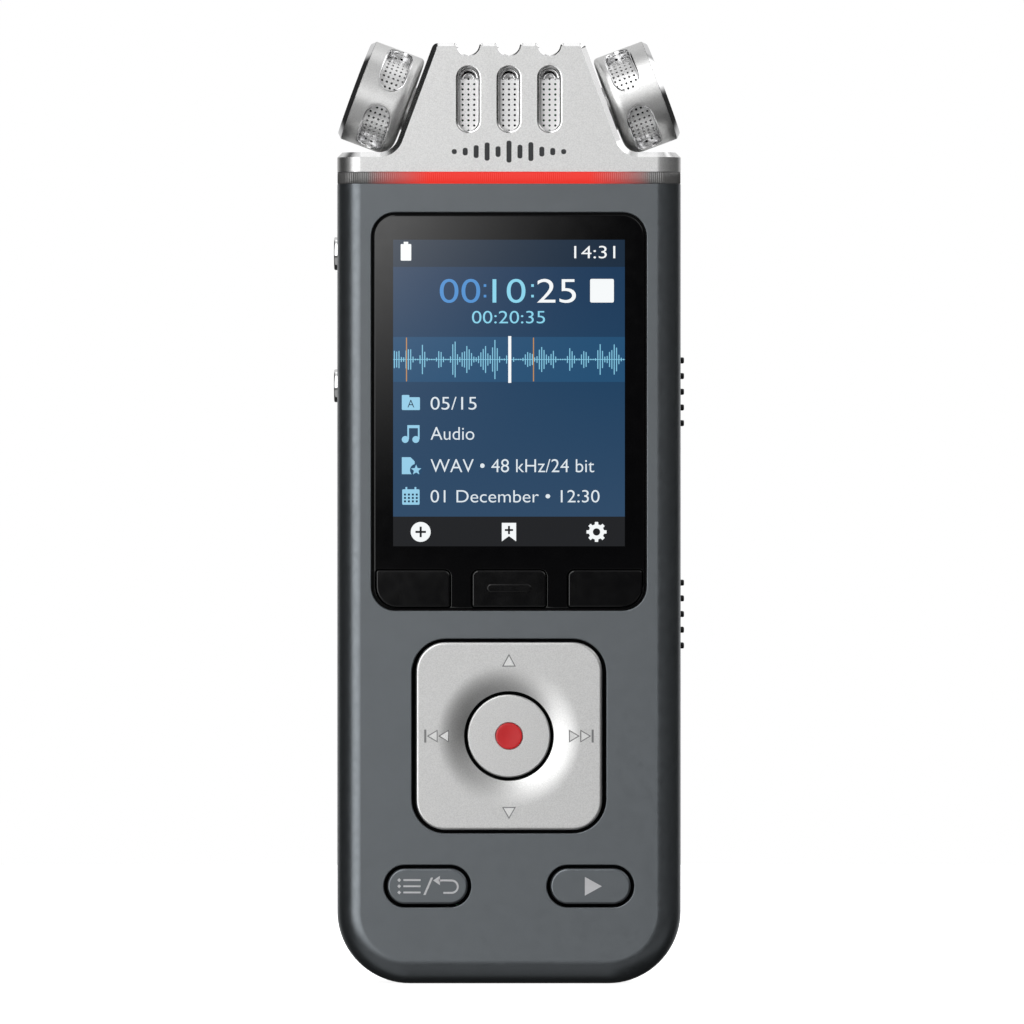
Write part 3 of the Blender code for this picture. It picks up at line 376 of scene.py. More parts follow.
def shifted(centre, corners, side=1):
    """Corners moved to a centre, and mirrored where side is -1."""
    return [(centre[0] + side * u, centre[1] + v) for u, v in corners]


def quarter_round(radius, steps=4):
    """(inset, depth) pairs down a quarter round, from the face to the side."""
    return [(radius * (1 - sin(t)), radius * (1 - cos(t))) for t in sweep(steps)]


def round_edge(radius, level, edge, steps):
    """The (radius, height) points of a turned piece's rounded edge."""
    return [(radius - inset, level - depth) for inset, depth in quarter_round(edge, steps)]


class Shape:
    """Points and faces of one piece, gathered ring by ring."""

    def __init__(self):
        self.points, self.faces, self.finishes = [], [], []

    def ring(self, points):
        first = len(self.points)
        self.points.extend(tuple(p) for p in points)
        return list(range(first, len(self.points)))

    def face(self, corners, finish=0):
        self.faces.append(tuple(corners))
        self.finishes.append(finish)

    def loft(self, rings, finish=0, ends="open", closed=True):
        """Joins rings of equal length. The finish is one index, or one for each band between
        rings; the ends stay open, or are capped, or joined to each other."""
        made = [self.ring(r) for r in rings]
        pairs = list(zip(made, made[1:])) + ([(made[-1], made[0])] if ends == "joined" else [])
        finishes = [finish] * len(pairs) if isinstance(finish, int) else finish
        for (a, b), band in zip(pairs, finishes):
            for i in range(len(a) if closed else len(a) - 1):
                j = (i + 1) % len(a)
                self.face((a[i], a[j], b[j], b[i]), band)
        if ends == "capped":
            self.face(made[0][::-1], finishes[0])
            self.face(made[-1], finishes[-1])
        return self

    def prism(self, corners, front, back, place=facing):
        """A solid from flat corners."""
        return self.loft([[place(u, v, w) for u, v in corners] for w in (front, back)], ends="capped")

    def build(self, name, *materials, weighted=True):
        """Makes the object: touching points merged, faces turned out, smooth but for sharp edges."""
        mesh = bpy.data.meshes.new(name)
        mesh.from_pydata([tuple(c * MM for c in point) for point in self.points], [], self.faces)
        mesh.polygons.foreach_set("material_index", self.finishes)
        clean(mesh, outward=True)
        for material in materials:
            mesh.materials.append(material)
        return shade(add_object(name, mesh), weighted)


def add_object(name, data):
    obj = bpy.data.objects.new(name, data)
    bpy.context.scene.collection.objects.link(obj)
    return obj


def evaluated(obj):
    """A new mesh of what the object's curve or modifiers make."""
    graph = bpy.context.evaluated_depsgraph_get()
    return bpy.data.meshes.new_from_object(obj.evaluated_get(graph))


def clean(mesh, outward=False):
    """Merges touching points, and turns the faces out where asked."""
    bm = bmesh.new()
    bm.from_mesh(mesh)
    bmesh.ops.remove_doubles(bm, verts=bm.verts, dist=MERGE)
    if outward:
        bmesh.ops.recalc_face_normals(bm, faces=bm.faces)
    bm.to_mesh(mesh)
    bm.free()


def shade(obj, weighted=True):
    obj.data.shade_smooth()
    obj.data.set_sharp_from_angle(angle=SHARP)
    if weighted:
        normals = obj.modifiers.new("Normals", "WEIGHTED_NORMAL")
        normals.keep_sharp = True
        normals.weight = 80
    return obj


def bake(obj):
    """Replaces the mesh with what the modifiers make of it."""
    mesh = evaluated(obj)
    if "custom_normal" in mesh.attributes:
        mesh.attributes.remove(mesh.attributes["custom_normal"])
    mesh.name = obj.name
    obj.modifiers.clear()
    obj.data = mesh
    return obj


def carve(obj, tool):
    """Cuts the tool out of the object and removes the tool."""
    obj.modifiers.clear()
    tool.modifiers.clear()
    step = obj.modifiers.new("Cut", "BOOLEAN")
    step.operation = "DIFFERENCE"
    step.solver = "EXACT"
    step.object = tool
    bake(obj)
    bpy.data.objects.remove(tool, do_unlink=True)
    clean(obj.data)
    return shade(obj)


def thicken(obj, thickness):
    solid = obj.modifiers.new("Solid", "SOLIDIFY")
    solid.thickness = thickness * MM
    solid.offset = 0.0
    solid.use_even_offset = False
    return shade(bake(obj))


class Outline:
    """A closed line of points with the outward direction at each."""

    def __init__(self, points, normals):
        self.points = np.array(points, float)
        self.normals = np.array(normals, float)

    def at(self, grow, depth, place=facing):
        """The line grown outwards and laid at a depth."""
        return [place(u, v, depth) for u, v in self.points + self.normals * grow]


def rounded(width, height, corner, centre=(0.0, 0.0), steps=8):
    """A rectangle with round corners; corner is one radius, or four from the lower right round."""
    radii = corner if isinstance(corner, list) else [corner] * 4
    points, normals = [], []
    for number, ((side, top), radius) in enumerate(zip(((1, -1), (1, 1), (-1, 1), (-1, -1)), radii)):
        middle = (centre[0] + side * (width / 2 - radius), centre[1] + top * (height / 2 - radius))
        angles = sweep(steps, 90 * number - 90, 90 * number)
        for angle in angles if radius else angles[:1]:
            normals.append(polar((0, 0), 1, angle))
            points.append(polar(middle, radius, angle))
    return Outline(points, normals)


def circle(radius, centre=(0.0, 0.0), steps=64):
    angles = sweep(steps, 0, 360)[:-1]
    return Outline([polar(centre, radius, a) for a in angles], [polar((0, 0), 1, a) for a in angles])


def plate(shape, outline, front, back, edge=0.0, steps=3, place=facing):
    """A solid from front to back, with its front edge rounded."""
    profile = quarter_round(edge, steps) if edge else [(0.0, 0.0)]
    rings = [outline.at(-inset, front + depth, place) for inset, depth in profile]
    return shape.loft(rings + [outline.at(0.0, back, place)], ends="capped")


def opening(shape, outline, front, back, lip, place=facing, steps=3, lip_finish=0):
    """A cutter that leaves a rounded lip where it enters."""
    profile = [(lip, -1.0)] + quarter_round(lip, steps) + [(0.0, back - front)]
    rings = [outline.at(grow, front + depth, place) for grow, depth in profile]
    return shape.loft(rings, [0] + [lip_finish] * (len(rings) - 3) + [0], "capped")


def turn(profile, matrix, steps=96, finish=0, ends="open"):
    """A profile of (radius, height) points turned about the matrix's Z axis."""
    place = framed(matrix)
    rings = [circle(radius, steps=steps).at(0, height, place) for radius, height in profile]
    return Shape().loft(rings, finish, ends)


def place_piece(obj, slot, *nodes, body="housing"):
    """Rides on the body and stands for the CAD nodes; the slot is not used."""
    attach(obj, body)
    if nodes:
        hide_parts(*nodes)
    return obj


# ------------------------------------------------------------------ housing

def body_ring(inset, drop, y):
    """Round the body at one depth: round bottom corners, square top."""
    half = HALF_WIDTH - inset
    points = [(half, y, BODY_TOP - drop)]
    for side, start in ((1, 0), (-1, -90)):
        centre = (side * (HALF_WIDTH - BODY_CORNER), BODY_CORNER)
        points += [facing(*polar(centre, BODY_CORNER - inset, a), y) for a in sweep(20, start, start - 90)]
    return points + [(-half, y, BODY_TOP - drop)]


def half_shell(face, inward):
    """A hollow half of the body from its face to the parting; inward is 1 for the front, -1 for the back."""
    groove = 0.14
    edge = PARTING - inward * SEAM / 2
    outer = [(inset, 0.0, face + inward * depth) for inset, depth in quarter_round(BODY_EDGE, 12)]
    outer += [(0.0, 0.0, edge - inward * groove), (groove, 0.0, edge), (WALL, WALL, edge)]
    inner = [(WALL + inset, WALL, face + inward * (WALL + depth))
             for inset, depth in quarter_round(BODY_EDGE - WALL)]
    return Shape().loft([body_ring(*entry) for entry in outer + inner[::-1]], ends="capped")


def window_outline(gap, steps=10):
    return rounded(LENS.size.x + 2 * gap, LENS.size.z + 2 * gap, WINDOW_CORNER + gap, LENS.mid.xz, steps)


def capsule(side, grow=0.0):
    height = CAPSULE_HEIGHT + 2 * grow
    centre = (side * CAPSULE_OFFSET, CAPSULE_Z)
    return rounded(CAPSULE_WIDTH + 2 * grow, height, height / 2 - HAIR, centre, 16)


def front_housing():
    cuts = Shape()
    lip, reach, inside = 0.14, FRONT + 2.4 * WALL, -HALF_WIDTH + 2 * WALL
    jack_gap, usb_gap, slider_slot = 0.12, 0.5, (4.0, 14.4, 0.8)
    for outline in (window_outline(WINDOW_GAP),
                    rounded(PAD_OPENING, PAD_OPENING, PAD_OPENING_CORNER, PAD.mid.xz, 12),
                    capsule(-1, CAPSULE_CLEARANCE), capsule(1, CAPSULE_CLEARANCE)):
        opening(cuts, outline, FRONT, reach, lip)
    for name in ("microphone", "earphone"):
        collar = box(f"{name}_jack_collar")
        outline = circle(collar.size.z / 2 + jack_gap, collar.mid.yz, 40)
        opening(cuts, outline, -HALF_WIDTH, inside, lip, from_left)
    for name in ("power", "mode"):
        middle = (box(f"{name}_switch").mid.y, box(f"{name}_slider").mid.z)
        opening(cuts, rounded(*slider_slot, middle, 5), -HALF_WIDTH, inside, lip, from_right)
    usb = box("usb_socket")
    height = usb.size.y + usb_gap
    outline = rounded(usb.size.x + usb_gap, height, height / 2 - 10 * HAIR, usb.mid.xy, 12)
    opening(cuts, outline, 0.0, 2 * WALL, lip, from_below)
    obj = half_shell(FRONT, 1).build("front_housing_fine", paint)
    carve(obj, cuts.build("front_cuts", paint))
    place_piece(obj, "anthracite", "front_housing")


def seam_lip():
    """The tongue inside the parting line, which closes the seam."""
    outer, inner, half = 0.3, 1.1, 0.5
    section = ((outer, -half), (outer, half), (inner, half), (inner, -half))
    shape = Shape().loft([body_ring(inset, inset, PARTING + y) for inset, y in section], ends="joined")
    place_piece(shape.build("seam_lip", black_and_painted_shade, weighted=False), "dark_plastic")


def screw_boxes():
    return [box(f"housing_screw_{number}") for number in range(1, 5)]


def rear_housing():
    cuts = Shape()
    speaker, insert = box("loudspeaker").mid, box("tripod_insert")
    through, gap = -BACK + 2 * WALL, 0.15
    longest, shorter, tall, corner, pitch = 11.0, 1.6, 0.9, 0.44, 2.2
    for row in range(-2, 3):
        outline = rounded(longest - shorter * abs(row), tall, corner, (speaker.x, speaker.z + row * pitch), 5)
        opening(cuts, outline, -BACK, through, 0.18, from_back)
    opening(cuts, circle(insert.size.x / 2 + gap, insert.mid.xz), -BACK, through, 0.25, from_back)
    for screw in screw_boxes():
        seat = circle(screw.size.x / 2 + gap, screw.mid.xz, 32)
        opening(cuts, seat, -BACK, -BACK + WALL - 0.1, 0.2, from_back)
    obj = half_shell(BACK, -1).build("rear_housing_fine", dark)
    carve(obj, cuts.build("rear_cuts", dark))
    place_piece(obj, "dark_plastic", "rear_housing")


def screws():
    """Pan heads with a cross recess, sunk in the back."""
    height, long, narrow, recess = 0.75, 1.5, 0.34, 0.35
    for number, screw in enumerate(screw_boxes(), start=1):
        top = screw.hi.y - 0.05
        radius = screw.size.x / 2
        profile = [(0.0, 0.0), *round_edge(radius, 0.0, 0.3, 4), (radius, -height), (0.0, -height)]
        axis = towards((screw.mid.x, top, screw.mid.z), (0, 1, 0))
        obj = turn(profile, axis, 32).build(f"screw_head_{number}", steel)
        for deeper, size in ((0.0, (narrow, long)), (0.01, (long, narrow))):
            arm = plate(Shape(), rounded(*size, 0.1, screw.mid.xz, 3), -top - 0.2, -top + recess + deeper,
                        place=from_back)
            carve(obj, arm.build("arm", steel))
        place_piece(obj, "contact_steel", f"housing_screw_{number}")


def light_band():
    """A clear strip with fine upright ribs all round."""
    low, high, trim = BODY_TOP + 0.03, HEAD.lo.z - 0.03, 0.12
    inner, ribs = 1.2, 0.02
    rib_pitch, rib_height = 0.27, 0.05
    base = rounded(2 * HALF_WIDTH, BACK - FRONT, BODY_EDGE, (0.0, MIDDLE), 10)
    closed, normals = (np.vstack([part, part[:1]]) for part in (base.points, base.normals))
    lengths = np.concatenate([[0], np.cumsum(np.linalg.norm(np.diff(closed, axis=0), axis=1))])
    count = 4 * round(lengths[-1] / rib_pitch)
    places = np.arange(count) * lengths[-1] / count
    line, outward = (np.column_stack([np.interp(places, lengths, part[:, k]) for k in (0, 1)])
                     for part in (closed, normals))
    outward /= np.linalg.norm(outward, axis=1)[:, None]
    wave = (np.cos(np.arange(count) * pi / 2) - 1) * rib_height / 2
    rings = [[(x, y, z) for x, y in line + outward * (wave * ribbed - inset)[:, None]]
             for inset, z, ribbed in ((inner, low, 0), (trim, low, 0), (ribs, low + trim, 1),
                                      (ribs, high - trim, 1), (trim, high, 0), (inner, high, 0))]
    obj = Shape().loft(rings, ends="joined").build("light_band_ribbed", band_plastic, weighted=False)
    place_piece(obj, "light_band", "light_band")


# ------------------------------------------------------------ display window

SOFTKEYS = ("left", "middle", "right")


def softkey_outline(name, grow=0.0):
    """The middle key is a plain round rectangle; the outer ones follow the window's corners."""
    width, height = 9.8, 4.85
    small, tight, large = 0.8 + grow, 0.3 + grow, WINDOW_CORNER - 0.2 + grow
    radii = {"left": [tight, small, tight, large], "middle": [tight, small, small, tight],
             "right": [large, tight, small, tight]}[name]
    centre = (box(f"softkey_{name}").mid.x, LENS.lo.z + 0.2 + height / 2)
    return rounded(width + 2 * grow, height + 2 * grow, radii, centre, 6)


def lens_and_softkeys():
    edge = 0.22
    obj = plate(Shape(), window_outline(0.0, 14), FRONT, LENS.hi.y, edge, 4).build("display_glass", gloss)
    cuts = Shape()
    for name in SOFTKEYS:
        opening(cuts, softkey_outline(name, 0.13), FRONT, FRONT + 3, 0.1)
    carve(obj, cuts.build("key_cuts", gloss))
    place_piece(obj, "gloss_black", "display_lens")
    for name in SOFTKEYS:
        key = box(f"softkey_{name}")
        shape = plate(Shape(), softkey_outline(name), FRONT - 0.22, FRONT + 1.9, edge, 5)
        if name == "middle":
            bar = rounded(5.9, 1.1, 0.53, (key.mid.x, LENS.lo.z + 2.7), 8)
            plate(shape, bar, key.lo.y, FRONT, 0.17, 4)
        obj = shape.build(f"softkey_{name}_cap", key_gloss)
        place_piece(obj, "gloss_black", f"softkey_{name}", body=f"{name}_softkey")


def window_gasket():
    """A black foam ring that closes the gap round the glass."""
    outline = window_outline(0.0, 14)
    outer, inner, near, far = WINDOW_GAP + 0.02, -0.02, FRONT + 0.7, FRONT + 1.1
    section = ((inner, near), (outer, near), (outer, far), (inner, far))
    shape = Shape().loft([outline.at(grow, y) for grow, y in section], ends="joined")
    place_piece(shape.build("window_gasket", black_and_painted_shade, weighted=False), "soft_rubber")


# -------------------------------------------------------------- the picture

LAYER = 0.004
SCREEN_COLORS = {
    "status": (27, 45, 64), "wave_band": (36, 79, 115), "bar": (34, 35, 37), "white": (246, 249, 250),
    "soft_white": (224, 233, 239), "cyan": (138, 212, 236), "wave": (134, 200, 226),
    "sky": (76, 142, 206), "pale": (150, 205, 232), "dark": (24, 48, 72), "screen_dark": (40, 72, 103),
    "orange": (190, 140, 90),
}


class Picture:
    """Flat shapes on the screen, one mesh for each colour; higher layers lie further out."""

    def __init__(self):
        self.shapes = {}

    def outline(self, colour, layer, points):
        front = FRONT - layer * LAYER
        self.shapes.setdefault(colour, Shape()).prism(points, front, front + 2 * LAYER)

    def bar(self, colour, layer, left, right, bottom, top, corner=0.0):
        line = rounded(right - left, top - bottom, corner, ((left + right) / 2, (bottom + top) / 2), 5)
        self.outline(colour, layer, line.points)

    def block(self, colour, layer, x, z, across, up):
        """A bar given by its middle and half sizes."""
        self.bar(colour, layer, x - across, x + across, z - up, z + up)

    def plus(self, colour, layer, x, z, reach, thick):
        self.block(colour, layer, x, z, reach, thick)
        self.block(colour, layer, x, z, thick, reach)

    def disc(self, colour, layer, x, z, radius, steps=40):
        self.outline(colour, layer, circle(radius, (x, z), steps).points)

    def text(self, colour, layer, words, left, right, bottom, top):
        """Words fitted to a rectangle, thinned a little."""
        curve = bpy.data.curves.new("words", "FONT")
        curve.body = words
        curve.offset = -0.005
        drawn = add_object("words", curve)
        mesh = evaluated(drawn)
        bpy.data.objects.remove(drawn, do_unlink=True)
        flat = np.array([v.co[:2] for v in mesh.vertices])
        low, size = flat.min(0), np.ptp(flat, axis=0)
        tall = (top - bottom) / size[1]
        wide = min(max((right - left) / size[0], tall * 0.9), tall * 1.25)
        flat = (flat - low) * (wide, tall) + ((left + right - wide * size[0]) / 2, bottom)
        front = FRONT - layer * LAYER
        shape = self.shapes.setdefault(colour, Shape())
        near, far = (shape.ring([(x, y, z) for x, z in flat]) for y in (front, front + 2 * LAYER))
        edges = {}
        for polygon in mesh.polygons:
            corners = list(polygon.vertices)
            shape.face([near[i] for i in corners])
            shape.face([far[i] for i in reversed(corners)])
            for edge in zip(corners, corners[1:] + corners[:1]):
                if not edges.pop(edge[::-1], False):
                    edges[edge] = True
        for a, b in edges:
            shape.face((near[b], near[a], far[a], far[b]))
        bpy.data.meshes.remove(mesh)

    def build(self):
        for colour, shape in self.shapes.items():
            material = (screen_material() if colour == "field"
                        else glowing(f"screen_{colour}", srgb(*SCREEN_COLORS[colour])))
            place_piece(shape.build(f"screen_{colour}", material, weighted=False), "lcd_panel")


def waveform(picture):
    """A recorded level: bursts of upright lines about the band's middle."""
    middle, pitch, half_line, count = 82.8, 0.31, 0.065, 16
    draw = random.Random(7)
    bursts = [(-SCREEN_HALF + 0.6 + 1.9 * k + draw.uniform(-0.5, 0.5), draw.uniform(1.3, 3.0),
               draw.uniform(0.35, 0.8)) for k in range(count)]
    for number in range(int(2 * SCREEN_HALF / pitch)):
        x = -SCREEN_HALF + (number + 0.5) * pitch
        level = max(height * exp(-((x - centre) / width) ** 2) for centre, height, width in bursts)
        half = max(level * draw.uniform(0.55, 1.0), 0.09)
        if abs(x - 0.1) > 0.3:
            picture.block("wave", 3, x, middle, half_line, half)
    picture.block("wave", 3, 0.0, middle, SCREEN_HALF, 0.04)
    for x in (-13.58, 3.25):
        picture.block("orange", 4, x, middle, 0.07, 2.9)
    picture.block("white", 5, 0.1, middle, 0.2, 3.1)


def gear(picture, x, z, radius):
    teeth = 8
    points = [polar((x, z), radius * reach, 2 * pi * (tooth + share) / teeth)
              for tooth in range(teeth)
              for share, reach in ((-0.30, 0.76), (-0.20, 1.0), (0.20, 1.0), (0.30, 0.76))]
    picture.outline("white", 3, points)
    picture.disc("bar", 4, x, z, radius * 0.36)


def row_icons(picture):
    """Folder, note, marked file and calendar, down the left."""
    left, right = -14.2, -11.8
    middle = (left + right) / 2
    z = 77.05
    picture.bar("pale", 3, left, right, z - 0.95, z + 0.75, 0.15)
    picture.bar("pale", 3, left, middle - 0.2, z + 0.6, z + 1.05, 0.12)
    picture.text("dark", 4, "A", middle - 0.45, middle + 0.45, z - 0.6, z + 0.4)
    z = 72.95
    for x in (left + 0.45, right - 0.55):
        picture.disc("pale", 3, x, z - 0.75, 0.46, 20)
        picture.bar("pale", 3, x + 0.28, x + 0.5, z - 0.7, z + 1.0)
    picture.bar("pale", 3, left + 0.73, right - 0.05, z + 0.75, z + 1.15)
    z = 68.7
    sheet = ((0.0, -1.1), (1.7, -1.1), (1.7, 0.6), (1.15, 1.15), (0.0, 1.15))
    picture.outline("pale", 3, shifted((left, z), sheet))
    star = (right - 0.5, z - 0.55)
    picture.disc("screen_dark", 4, *star, 0.82, 24)
    picture.outline("pale", 5, [polar(star, 0.32 if point % 2 else 0.72, pi / 2 + point * pi / 5)
                                for point in range(10)])
    z = 64.65
    picture.bar("pale", 3, left + 0.05, right - 0.05, z - 1.1, z + 0.95, 0.15)
    for x in (left + 0.6, right - 0.6):
        picture.bar("pale", 3, x - 0.12, x + 0.12, z + 0.8, z + 1.25)
    for row in range(3):
        for column in range(4):
            picture.block("dark", 4, left + 0.42 + 0.52 * column, z + 0.25 - 0.45 * row, 0.13, 0.13)


def bottom_icons(picture):
    """Add, bookmark and settings, in the bar over the three keys."""
    z = 59.95
    picture.disc("white", 3, -11.7, z, 1.32)
    picture.plus("bar", 4, -11.7, z, 0.7, 0.14)
    ribbon = ((-0.95, -1.25), (0.0, -0.55), (0.95, -1.25), (0.95, 1.2), (-0.95, 1.2))
    picture.outline("white", 3, shifted((0.0, z), ribbon))
    picture.plus("bar", 4, 0.0, z + 0.25, 0.55, 0.13)
    gear(picture, 11.6, z, 1.34)


def screen():
    picture = Picture()
    for colour, layer, bottom, top in (("field", 1, SCREEN_BOTTOM, SCREEN_TOP),
                                       ("status", 2, 95.07, SCREEN_TOP), ("wave_band", 2, 79.83, 85.79),
                                       ("bar", 2, SCREEN_BOTTOM, 61.98)):
        picture.bar(colour, layer, -SCREEN_HALF, SCREEN_HALF, bottom, top)
    picture.bar("white", 3, -14.35, -12.95, 95.9, 98.1, 0.12)
    picture.bar("white", 3, -13.95, -13.35, 98.0, 98.4)
    picture.text("white", 3, "14:31", 8.55, 14.18, 96.2, 97.86)
    for words, colour, left, right in (("00", "sky", -9.28, -3.71), ("10", "cyan", -2.65, 2.65),
                                       ("25", "white", 3.58, 9.01)):
        picture.text(colour, 3, words, left, right, 90.3, 93.48)
    for x, colour in ((-3.18, "sky"), (3.12, "cyan")):
        for z in (91.2, 92.6):
            picture.block(colour, 3, x, z, 0.17, 0.17)
    picture.bar("white", 3, 10.75, 13.9, 90.35, 93.48, 0.2)
    picture.text("cyan", 3, "00:20:35", -4.9, 4.77, 87.58, 89.24)
    waveform(picture)
    for words, right, bottom, top in (("05/15", -4.3, 76.15, 77.85), ("Audio", -4.6, 72.15, 73.85),
                                      ("WAV • 48 kHz/24 bit", 11.3, 67.85, 69.6),
                                      ("01 December • 12:30", 12.0, 63.85, 65.5)):
        picture.text("soft_white", 3, words, -10.39, right, bottom, top)
    row_icons(picture)
    bottom_icons(picture)
    picture.build()


# ------------------------------------------------------------ direction pad

def ray_outline(width, height, corner, count):
    """A round rectangle sampled at even angles from its middle, with outward directions."""
    points, normals = [], []
    inner = np.array((width / 2 - corner, height / 2 - corner))
    for angle in sweep(count, 0, 360)[:-1]:
        way = np.array(polar((0, 0), 1, angle))
        point = way * min(np.array((width, height)) / 2 / np.maximum(abs(way), 1e-9))
        if all(abs(point) > inner):
            centre = np.copysign(inner, point)
            along = way @ centre
            point = way * (along + sqrt(along ** 2 - (centre @ centre - corner ** 2)))
            normals.append((point - centre) / corner)
        elif abs(point[0]) >= width / 2 - HAIR:
            normals.append((copysign(1.0, point[0]), 0.0))
        else:
            normals.append((0.0, copysign(1.0, point[1])))
        points.append(point)
    return Outline(points, normals)


def pad_icons():
    """Up, down, back and forward marks as lists of corners."""
    centre = PAD.mid.xz
    tall, thick, stop = 0.86, 0.28, 10.95
    marks = [shifted(centre, ((-0.92, 9.2), (0.92, 9.2), (0.0, 10.9))),
             shifted(centre, ((-0.92, -9.4), (0.92, -9.4), (0.0, -11.0)))]
    for side in (-1, 1):
        for near in (7.95, 9.45):
            marks.append(shifted(centre, ((near, -tall), (near, tall), (near + 1.44, 0.0)), side))
        end = ((stop, -tall), (stop + thick, -tall), (stop + thick, tall), (stop, tall))
        marks.append(shifted(centre, end, side))
    return marks


def shrunk(triangle, distance):
    """A triangle drawn in by a distance on every side, about the centre of the circle inside it."""
    corners = [Vector(corner) for corner in triangle]
    sides = [(corners[i - 2] - corners[i - 1]).length for i in range(3)]
    centre = sum((corner * side for corner, side in zip(corners, sides)), Vector((0, 0))) / sum(sides)
    inner = abs((corners[1] - corners[0]).cross(corners[2] - corners[0])) / sum(sides)
    return [centre + (corner - centre) * (1 - distance / inner) for corner in corners]


def direction_pad():
    front, back = PAD.lo.y, PAD.hi.y
    count, edge, steps = 192, 0.3, 30
    outline = ray_outline(PAD.size.x, PAD.size.z, PAD_CORNER, count)
    outline.points += PAD.mid.xz

    def round_at(radius, y):
        return circle(radius, PAD.mid.xz, count).at(0, y)

    rings = [outline.at(0, back)]
    rings += [outline.at(-inset, front + depth) for inset, depth in reversed(quarter_round(edge, 5))]
    rings += [outline.at(-edge - 0.1, front), round_at(DISH_RADIUS + 0.15, front)]
    for share in np.linspace(0, 1, steps + 1):
        radius = DISH_RADIUS + (RECORD_HOLE - DISH_RADIUS) * share
        rings.append(round_at(radius, front + DISH_DEPTH * share ** DISH_CURVE))
    # The step in from the dish and the hole's wall take the black material: painted shade in the gap round
    # the record cap.
    finishes = [0] * (len(rings) - 1) + [1, 1, 0]
    rings += [round_at(RECORD_HOLE - 0.1, y) for y in (front + DISH_DEPTH + 0.12, back)]
    obj = Shape().loft(rings, finishes, "joined").build("nav_plate_fine", pad_silver, black_and_painted_shade, groove_painted_shade)
    grooves, fills = Shape(), Shape()
    for mark in pad_icons():
        grooves.prism(mark, front - 0.5, front + MARK_DEPTH)
        # The groove's floor takes the dark grey: painted groove shade, seen as a thin line round each filled
        # triangle and as the whole of each end bar.
        grooves.finishes[-1] = 2
        if len(mark) == 3:
            fills.prism(shrunk(mark, MARK_LINE), front + 0.02, front + MARK_DEPTH + 0.05)
    carve(obj, grooves.build("grooves", pad_silver, black_and_painted_shade, groove_painted_shade))
    place_piece(obj, "pad_silver", "nav_plate", body="pad")
    place_piece(fills.build("pad_mark_fills", inlay, weighted=False), "pad_silver", body="pad")


def record_button():
    """The cap with a seat for its dot, on a skirt that hides what is under the gap; the skirt and the cap's
    side wall are painted black as the gap's shade.
    """
    axis = towards((RECORD.mid.x, RECORD.lo.y, RECORD.mid.z), (0, -1, 0))
    radius, spot = RECORD.size.x / 2, DOT.size.x / 2
    seat, seat_depth = spot + 0.04, 0.8
    skirt, skirt_top, skirt_bottom = 6.2, -2.62, -2.8
    profile = [(0.0, -seat_depth), (seat, -seat_depth), (seat, -0.08), (seat + 0.08, 0.0)]
    profile += round_edge(radius, 0.0, 0.2, 5)
    # The cap's side wall and the skirt take the black material: painted shade in the gap round the cap.
    finishes = [0] * (len(profile) - 1) + [1] * 4
    profile += [(radius, skirt_top), (skirt, skirt_top), (skirt, skirt_bottom), (0.0, skirt_bottom)]
    cap = turn(profile, axis, 128, finishes).build("record_cap", pad_silver, black_and_painted_shade)
    place_piece(cap, "pad_silver", "record_button", body="record_key")
    top = -0.05
    dish = [(0.0, top - 0.05), (spot * 0.5, top - 0.035), (spot * 0.85, top), *round_edge(spot, top, 0.06, 2),
            (spot, -0.55), (0.0, -0.55)]
    spot_piece = turn(dish, axis, 64).build("record_spot", red)
    place_piece(spot_piece, "record_red", "record_dot", body="record_key")


def key_marks(side, front):
    """A list, a slash and a return arrow on one key; a play triangle on the other."""
    shape = Shape()
    centre, back = (side * CAPSULE_OFFSET, CAPSULE_Z), front + 0.2

    def mark(*corners):
        shape.prism(shifted(centre, corners), front, back)

    if side > 0:
        mark((-0.75, -1.25), (1.5, 0.0), (-0.75, 1.25))
        return shape
    for level in (-0.82, 0.0, 0.82):
        mark((-4.01, level), (-3.75, level - 0.26), (-3.49, level), (-3.75, level + 0.26))
        plate(shape, rounded(2.3, 0.24, 0.05, (centre[0] - 2.05, centre[1] + level), 2), front, back)
    mark((-0.55, -1.15), (-0.25, -1.15), (0.75, 1.15), (0.45, 1.15))
    bend_z, radius, half = -0.05, 0.82, 0.13
    outer, inner = ([(1.5, bend_z + reach), *(polar((3.2, bend_z), reach, a) for a in sweep(16, 90, -90)),
                     (2.1, bend_z - reach)] for reach in (radius + half, radius - half))
    mark(*outer, *reversed(inner))
    tip_z = bend_z + radius
    mark((0.75, tip_z), (1.65, tip_z - 0.62), (1.65, tip_z + 0.62))
    return shape


def capsule_keys():
    for name, side in (("menu", -1), ("play", 1)):
        front = box(f"{name}_button").lo.y
        cap = plate(Shape(), capsule(side), front, FRONT + 2, 0.32, 6).build(f"{name}_key_cap", paint)
        place_piece(cap, "anthracite", f"{name}_button", body=f"{name}_key")
        marks = key_marks(side, front - 0.015).build(f"{name}_key_marks", print_grey, weighted=False)
        place_piece(marks, "satin_silver", body=f"{name}_key")


# --------------------------------------------------------------------- head

def flank_x(z):
    return FLANK_TOP_X + (HEAD.hi.z - z) * tan(FLANK_LEAN)


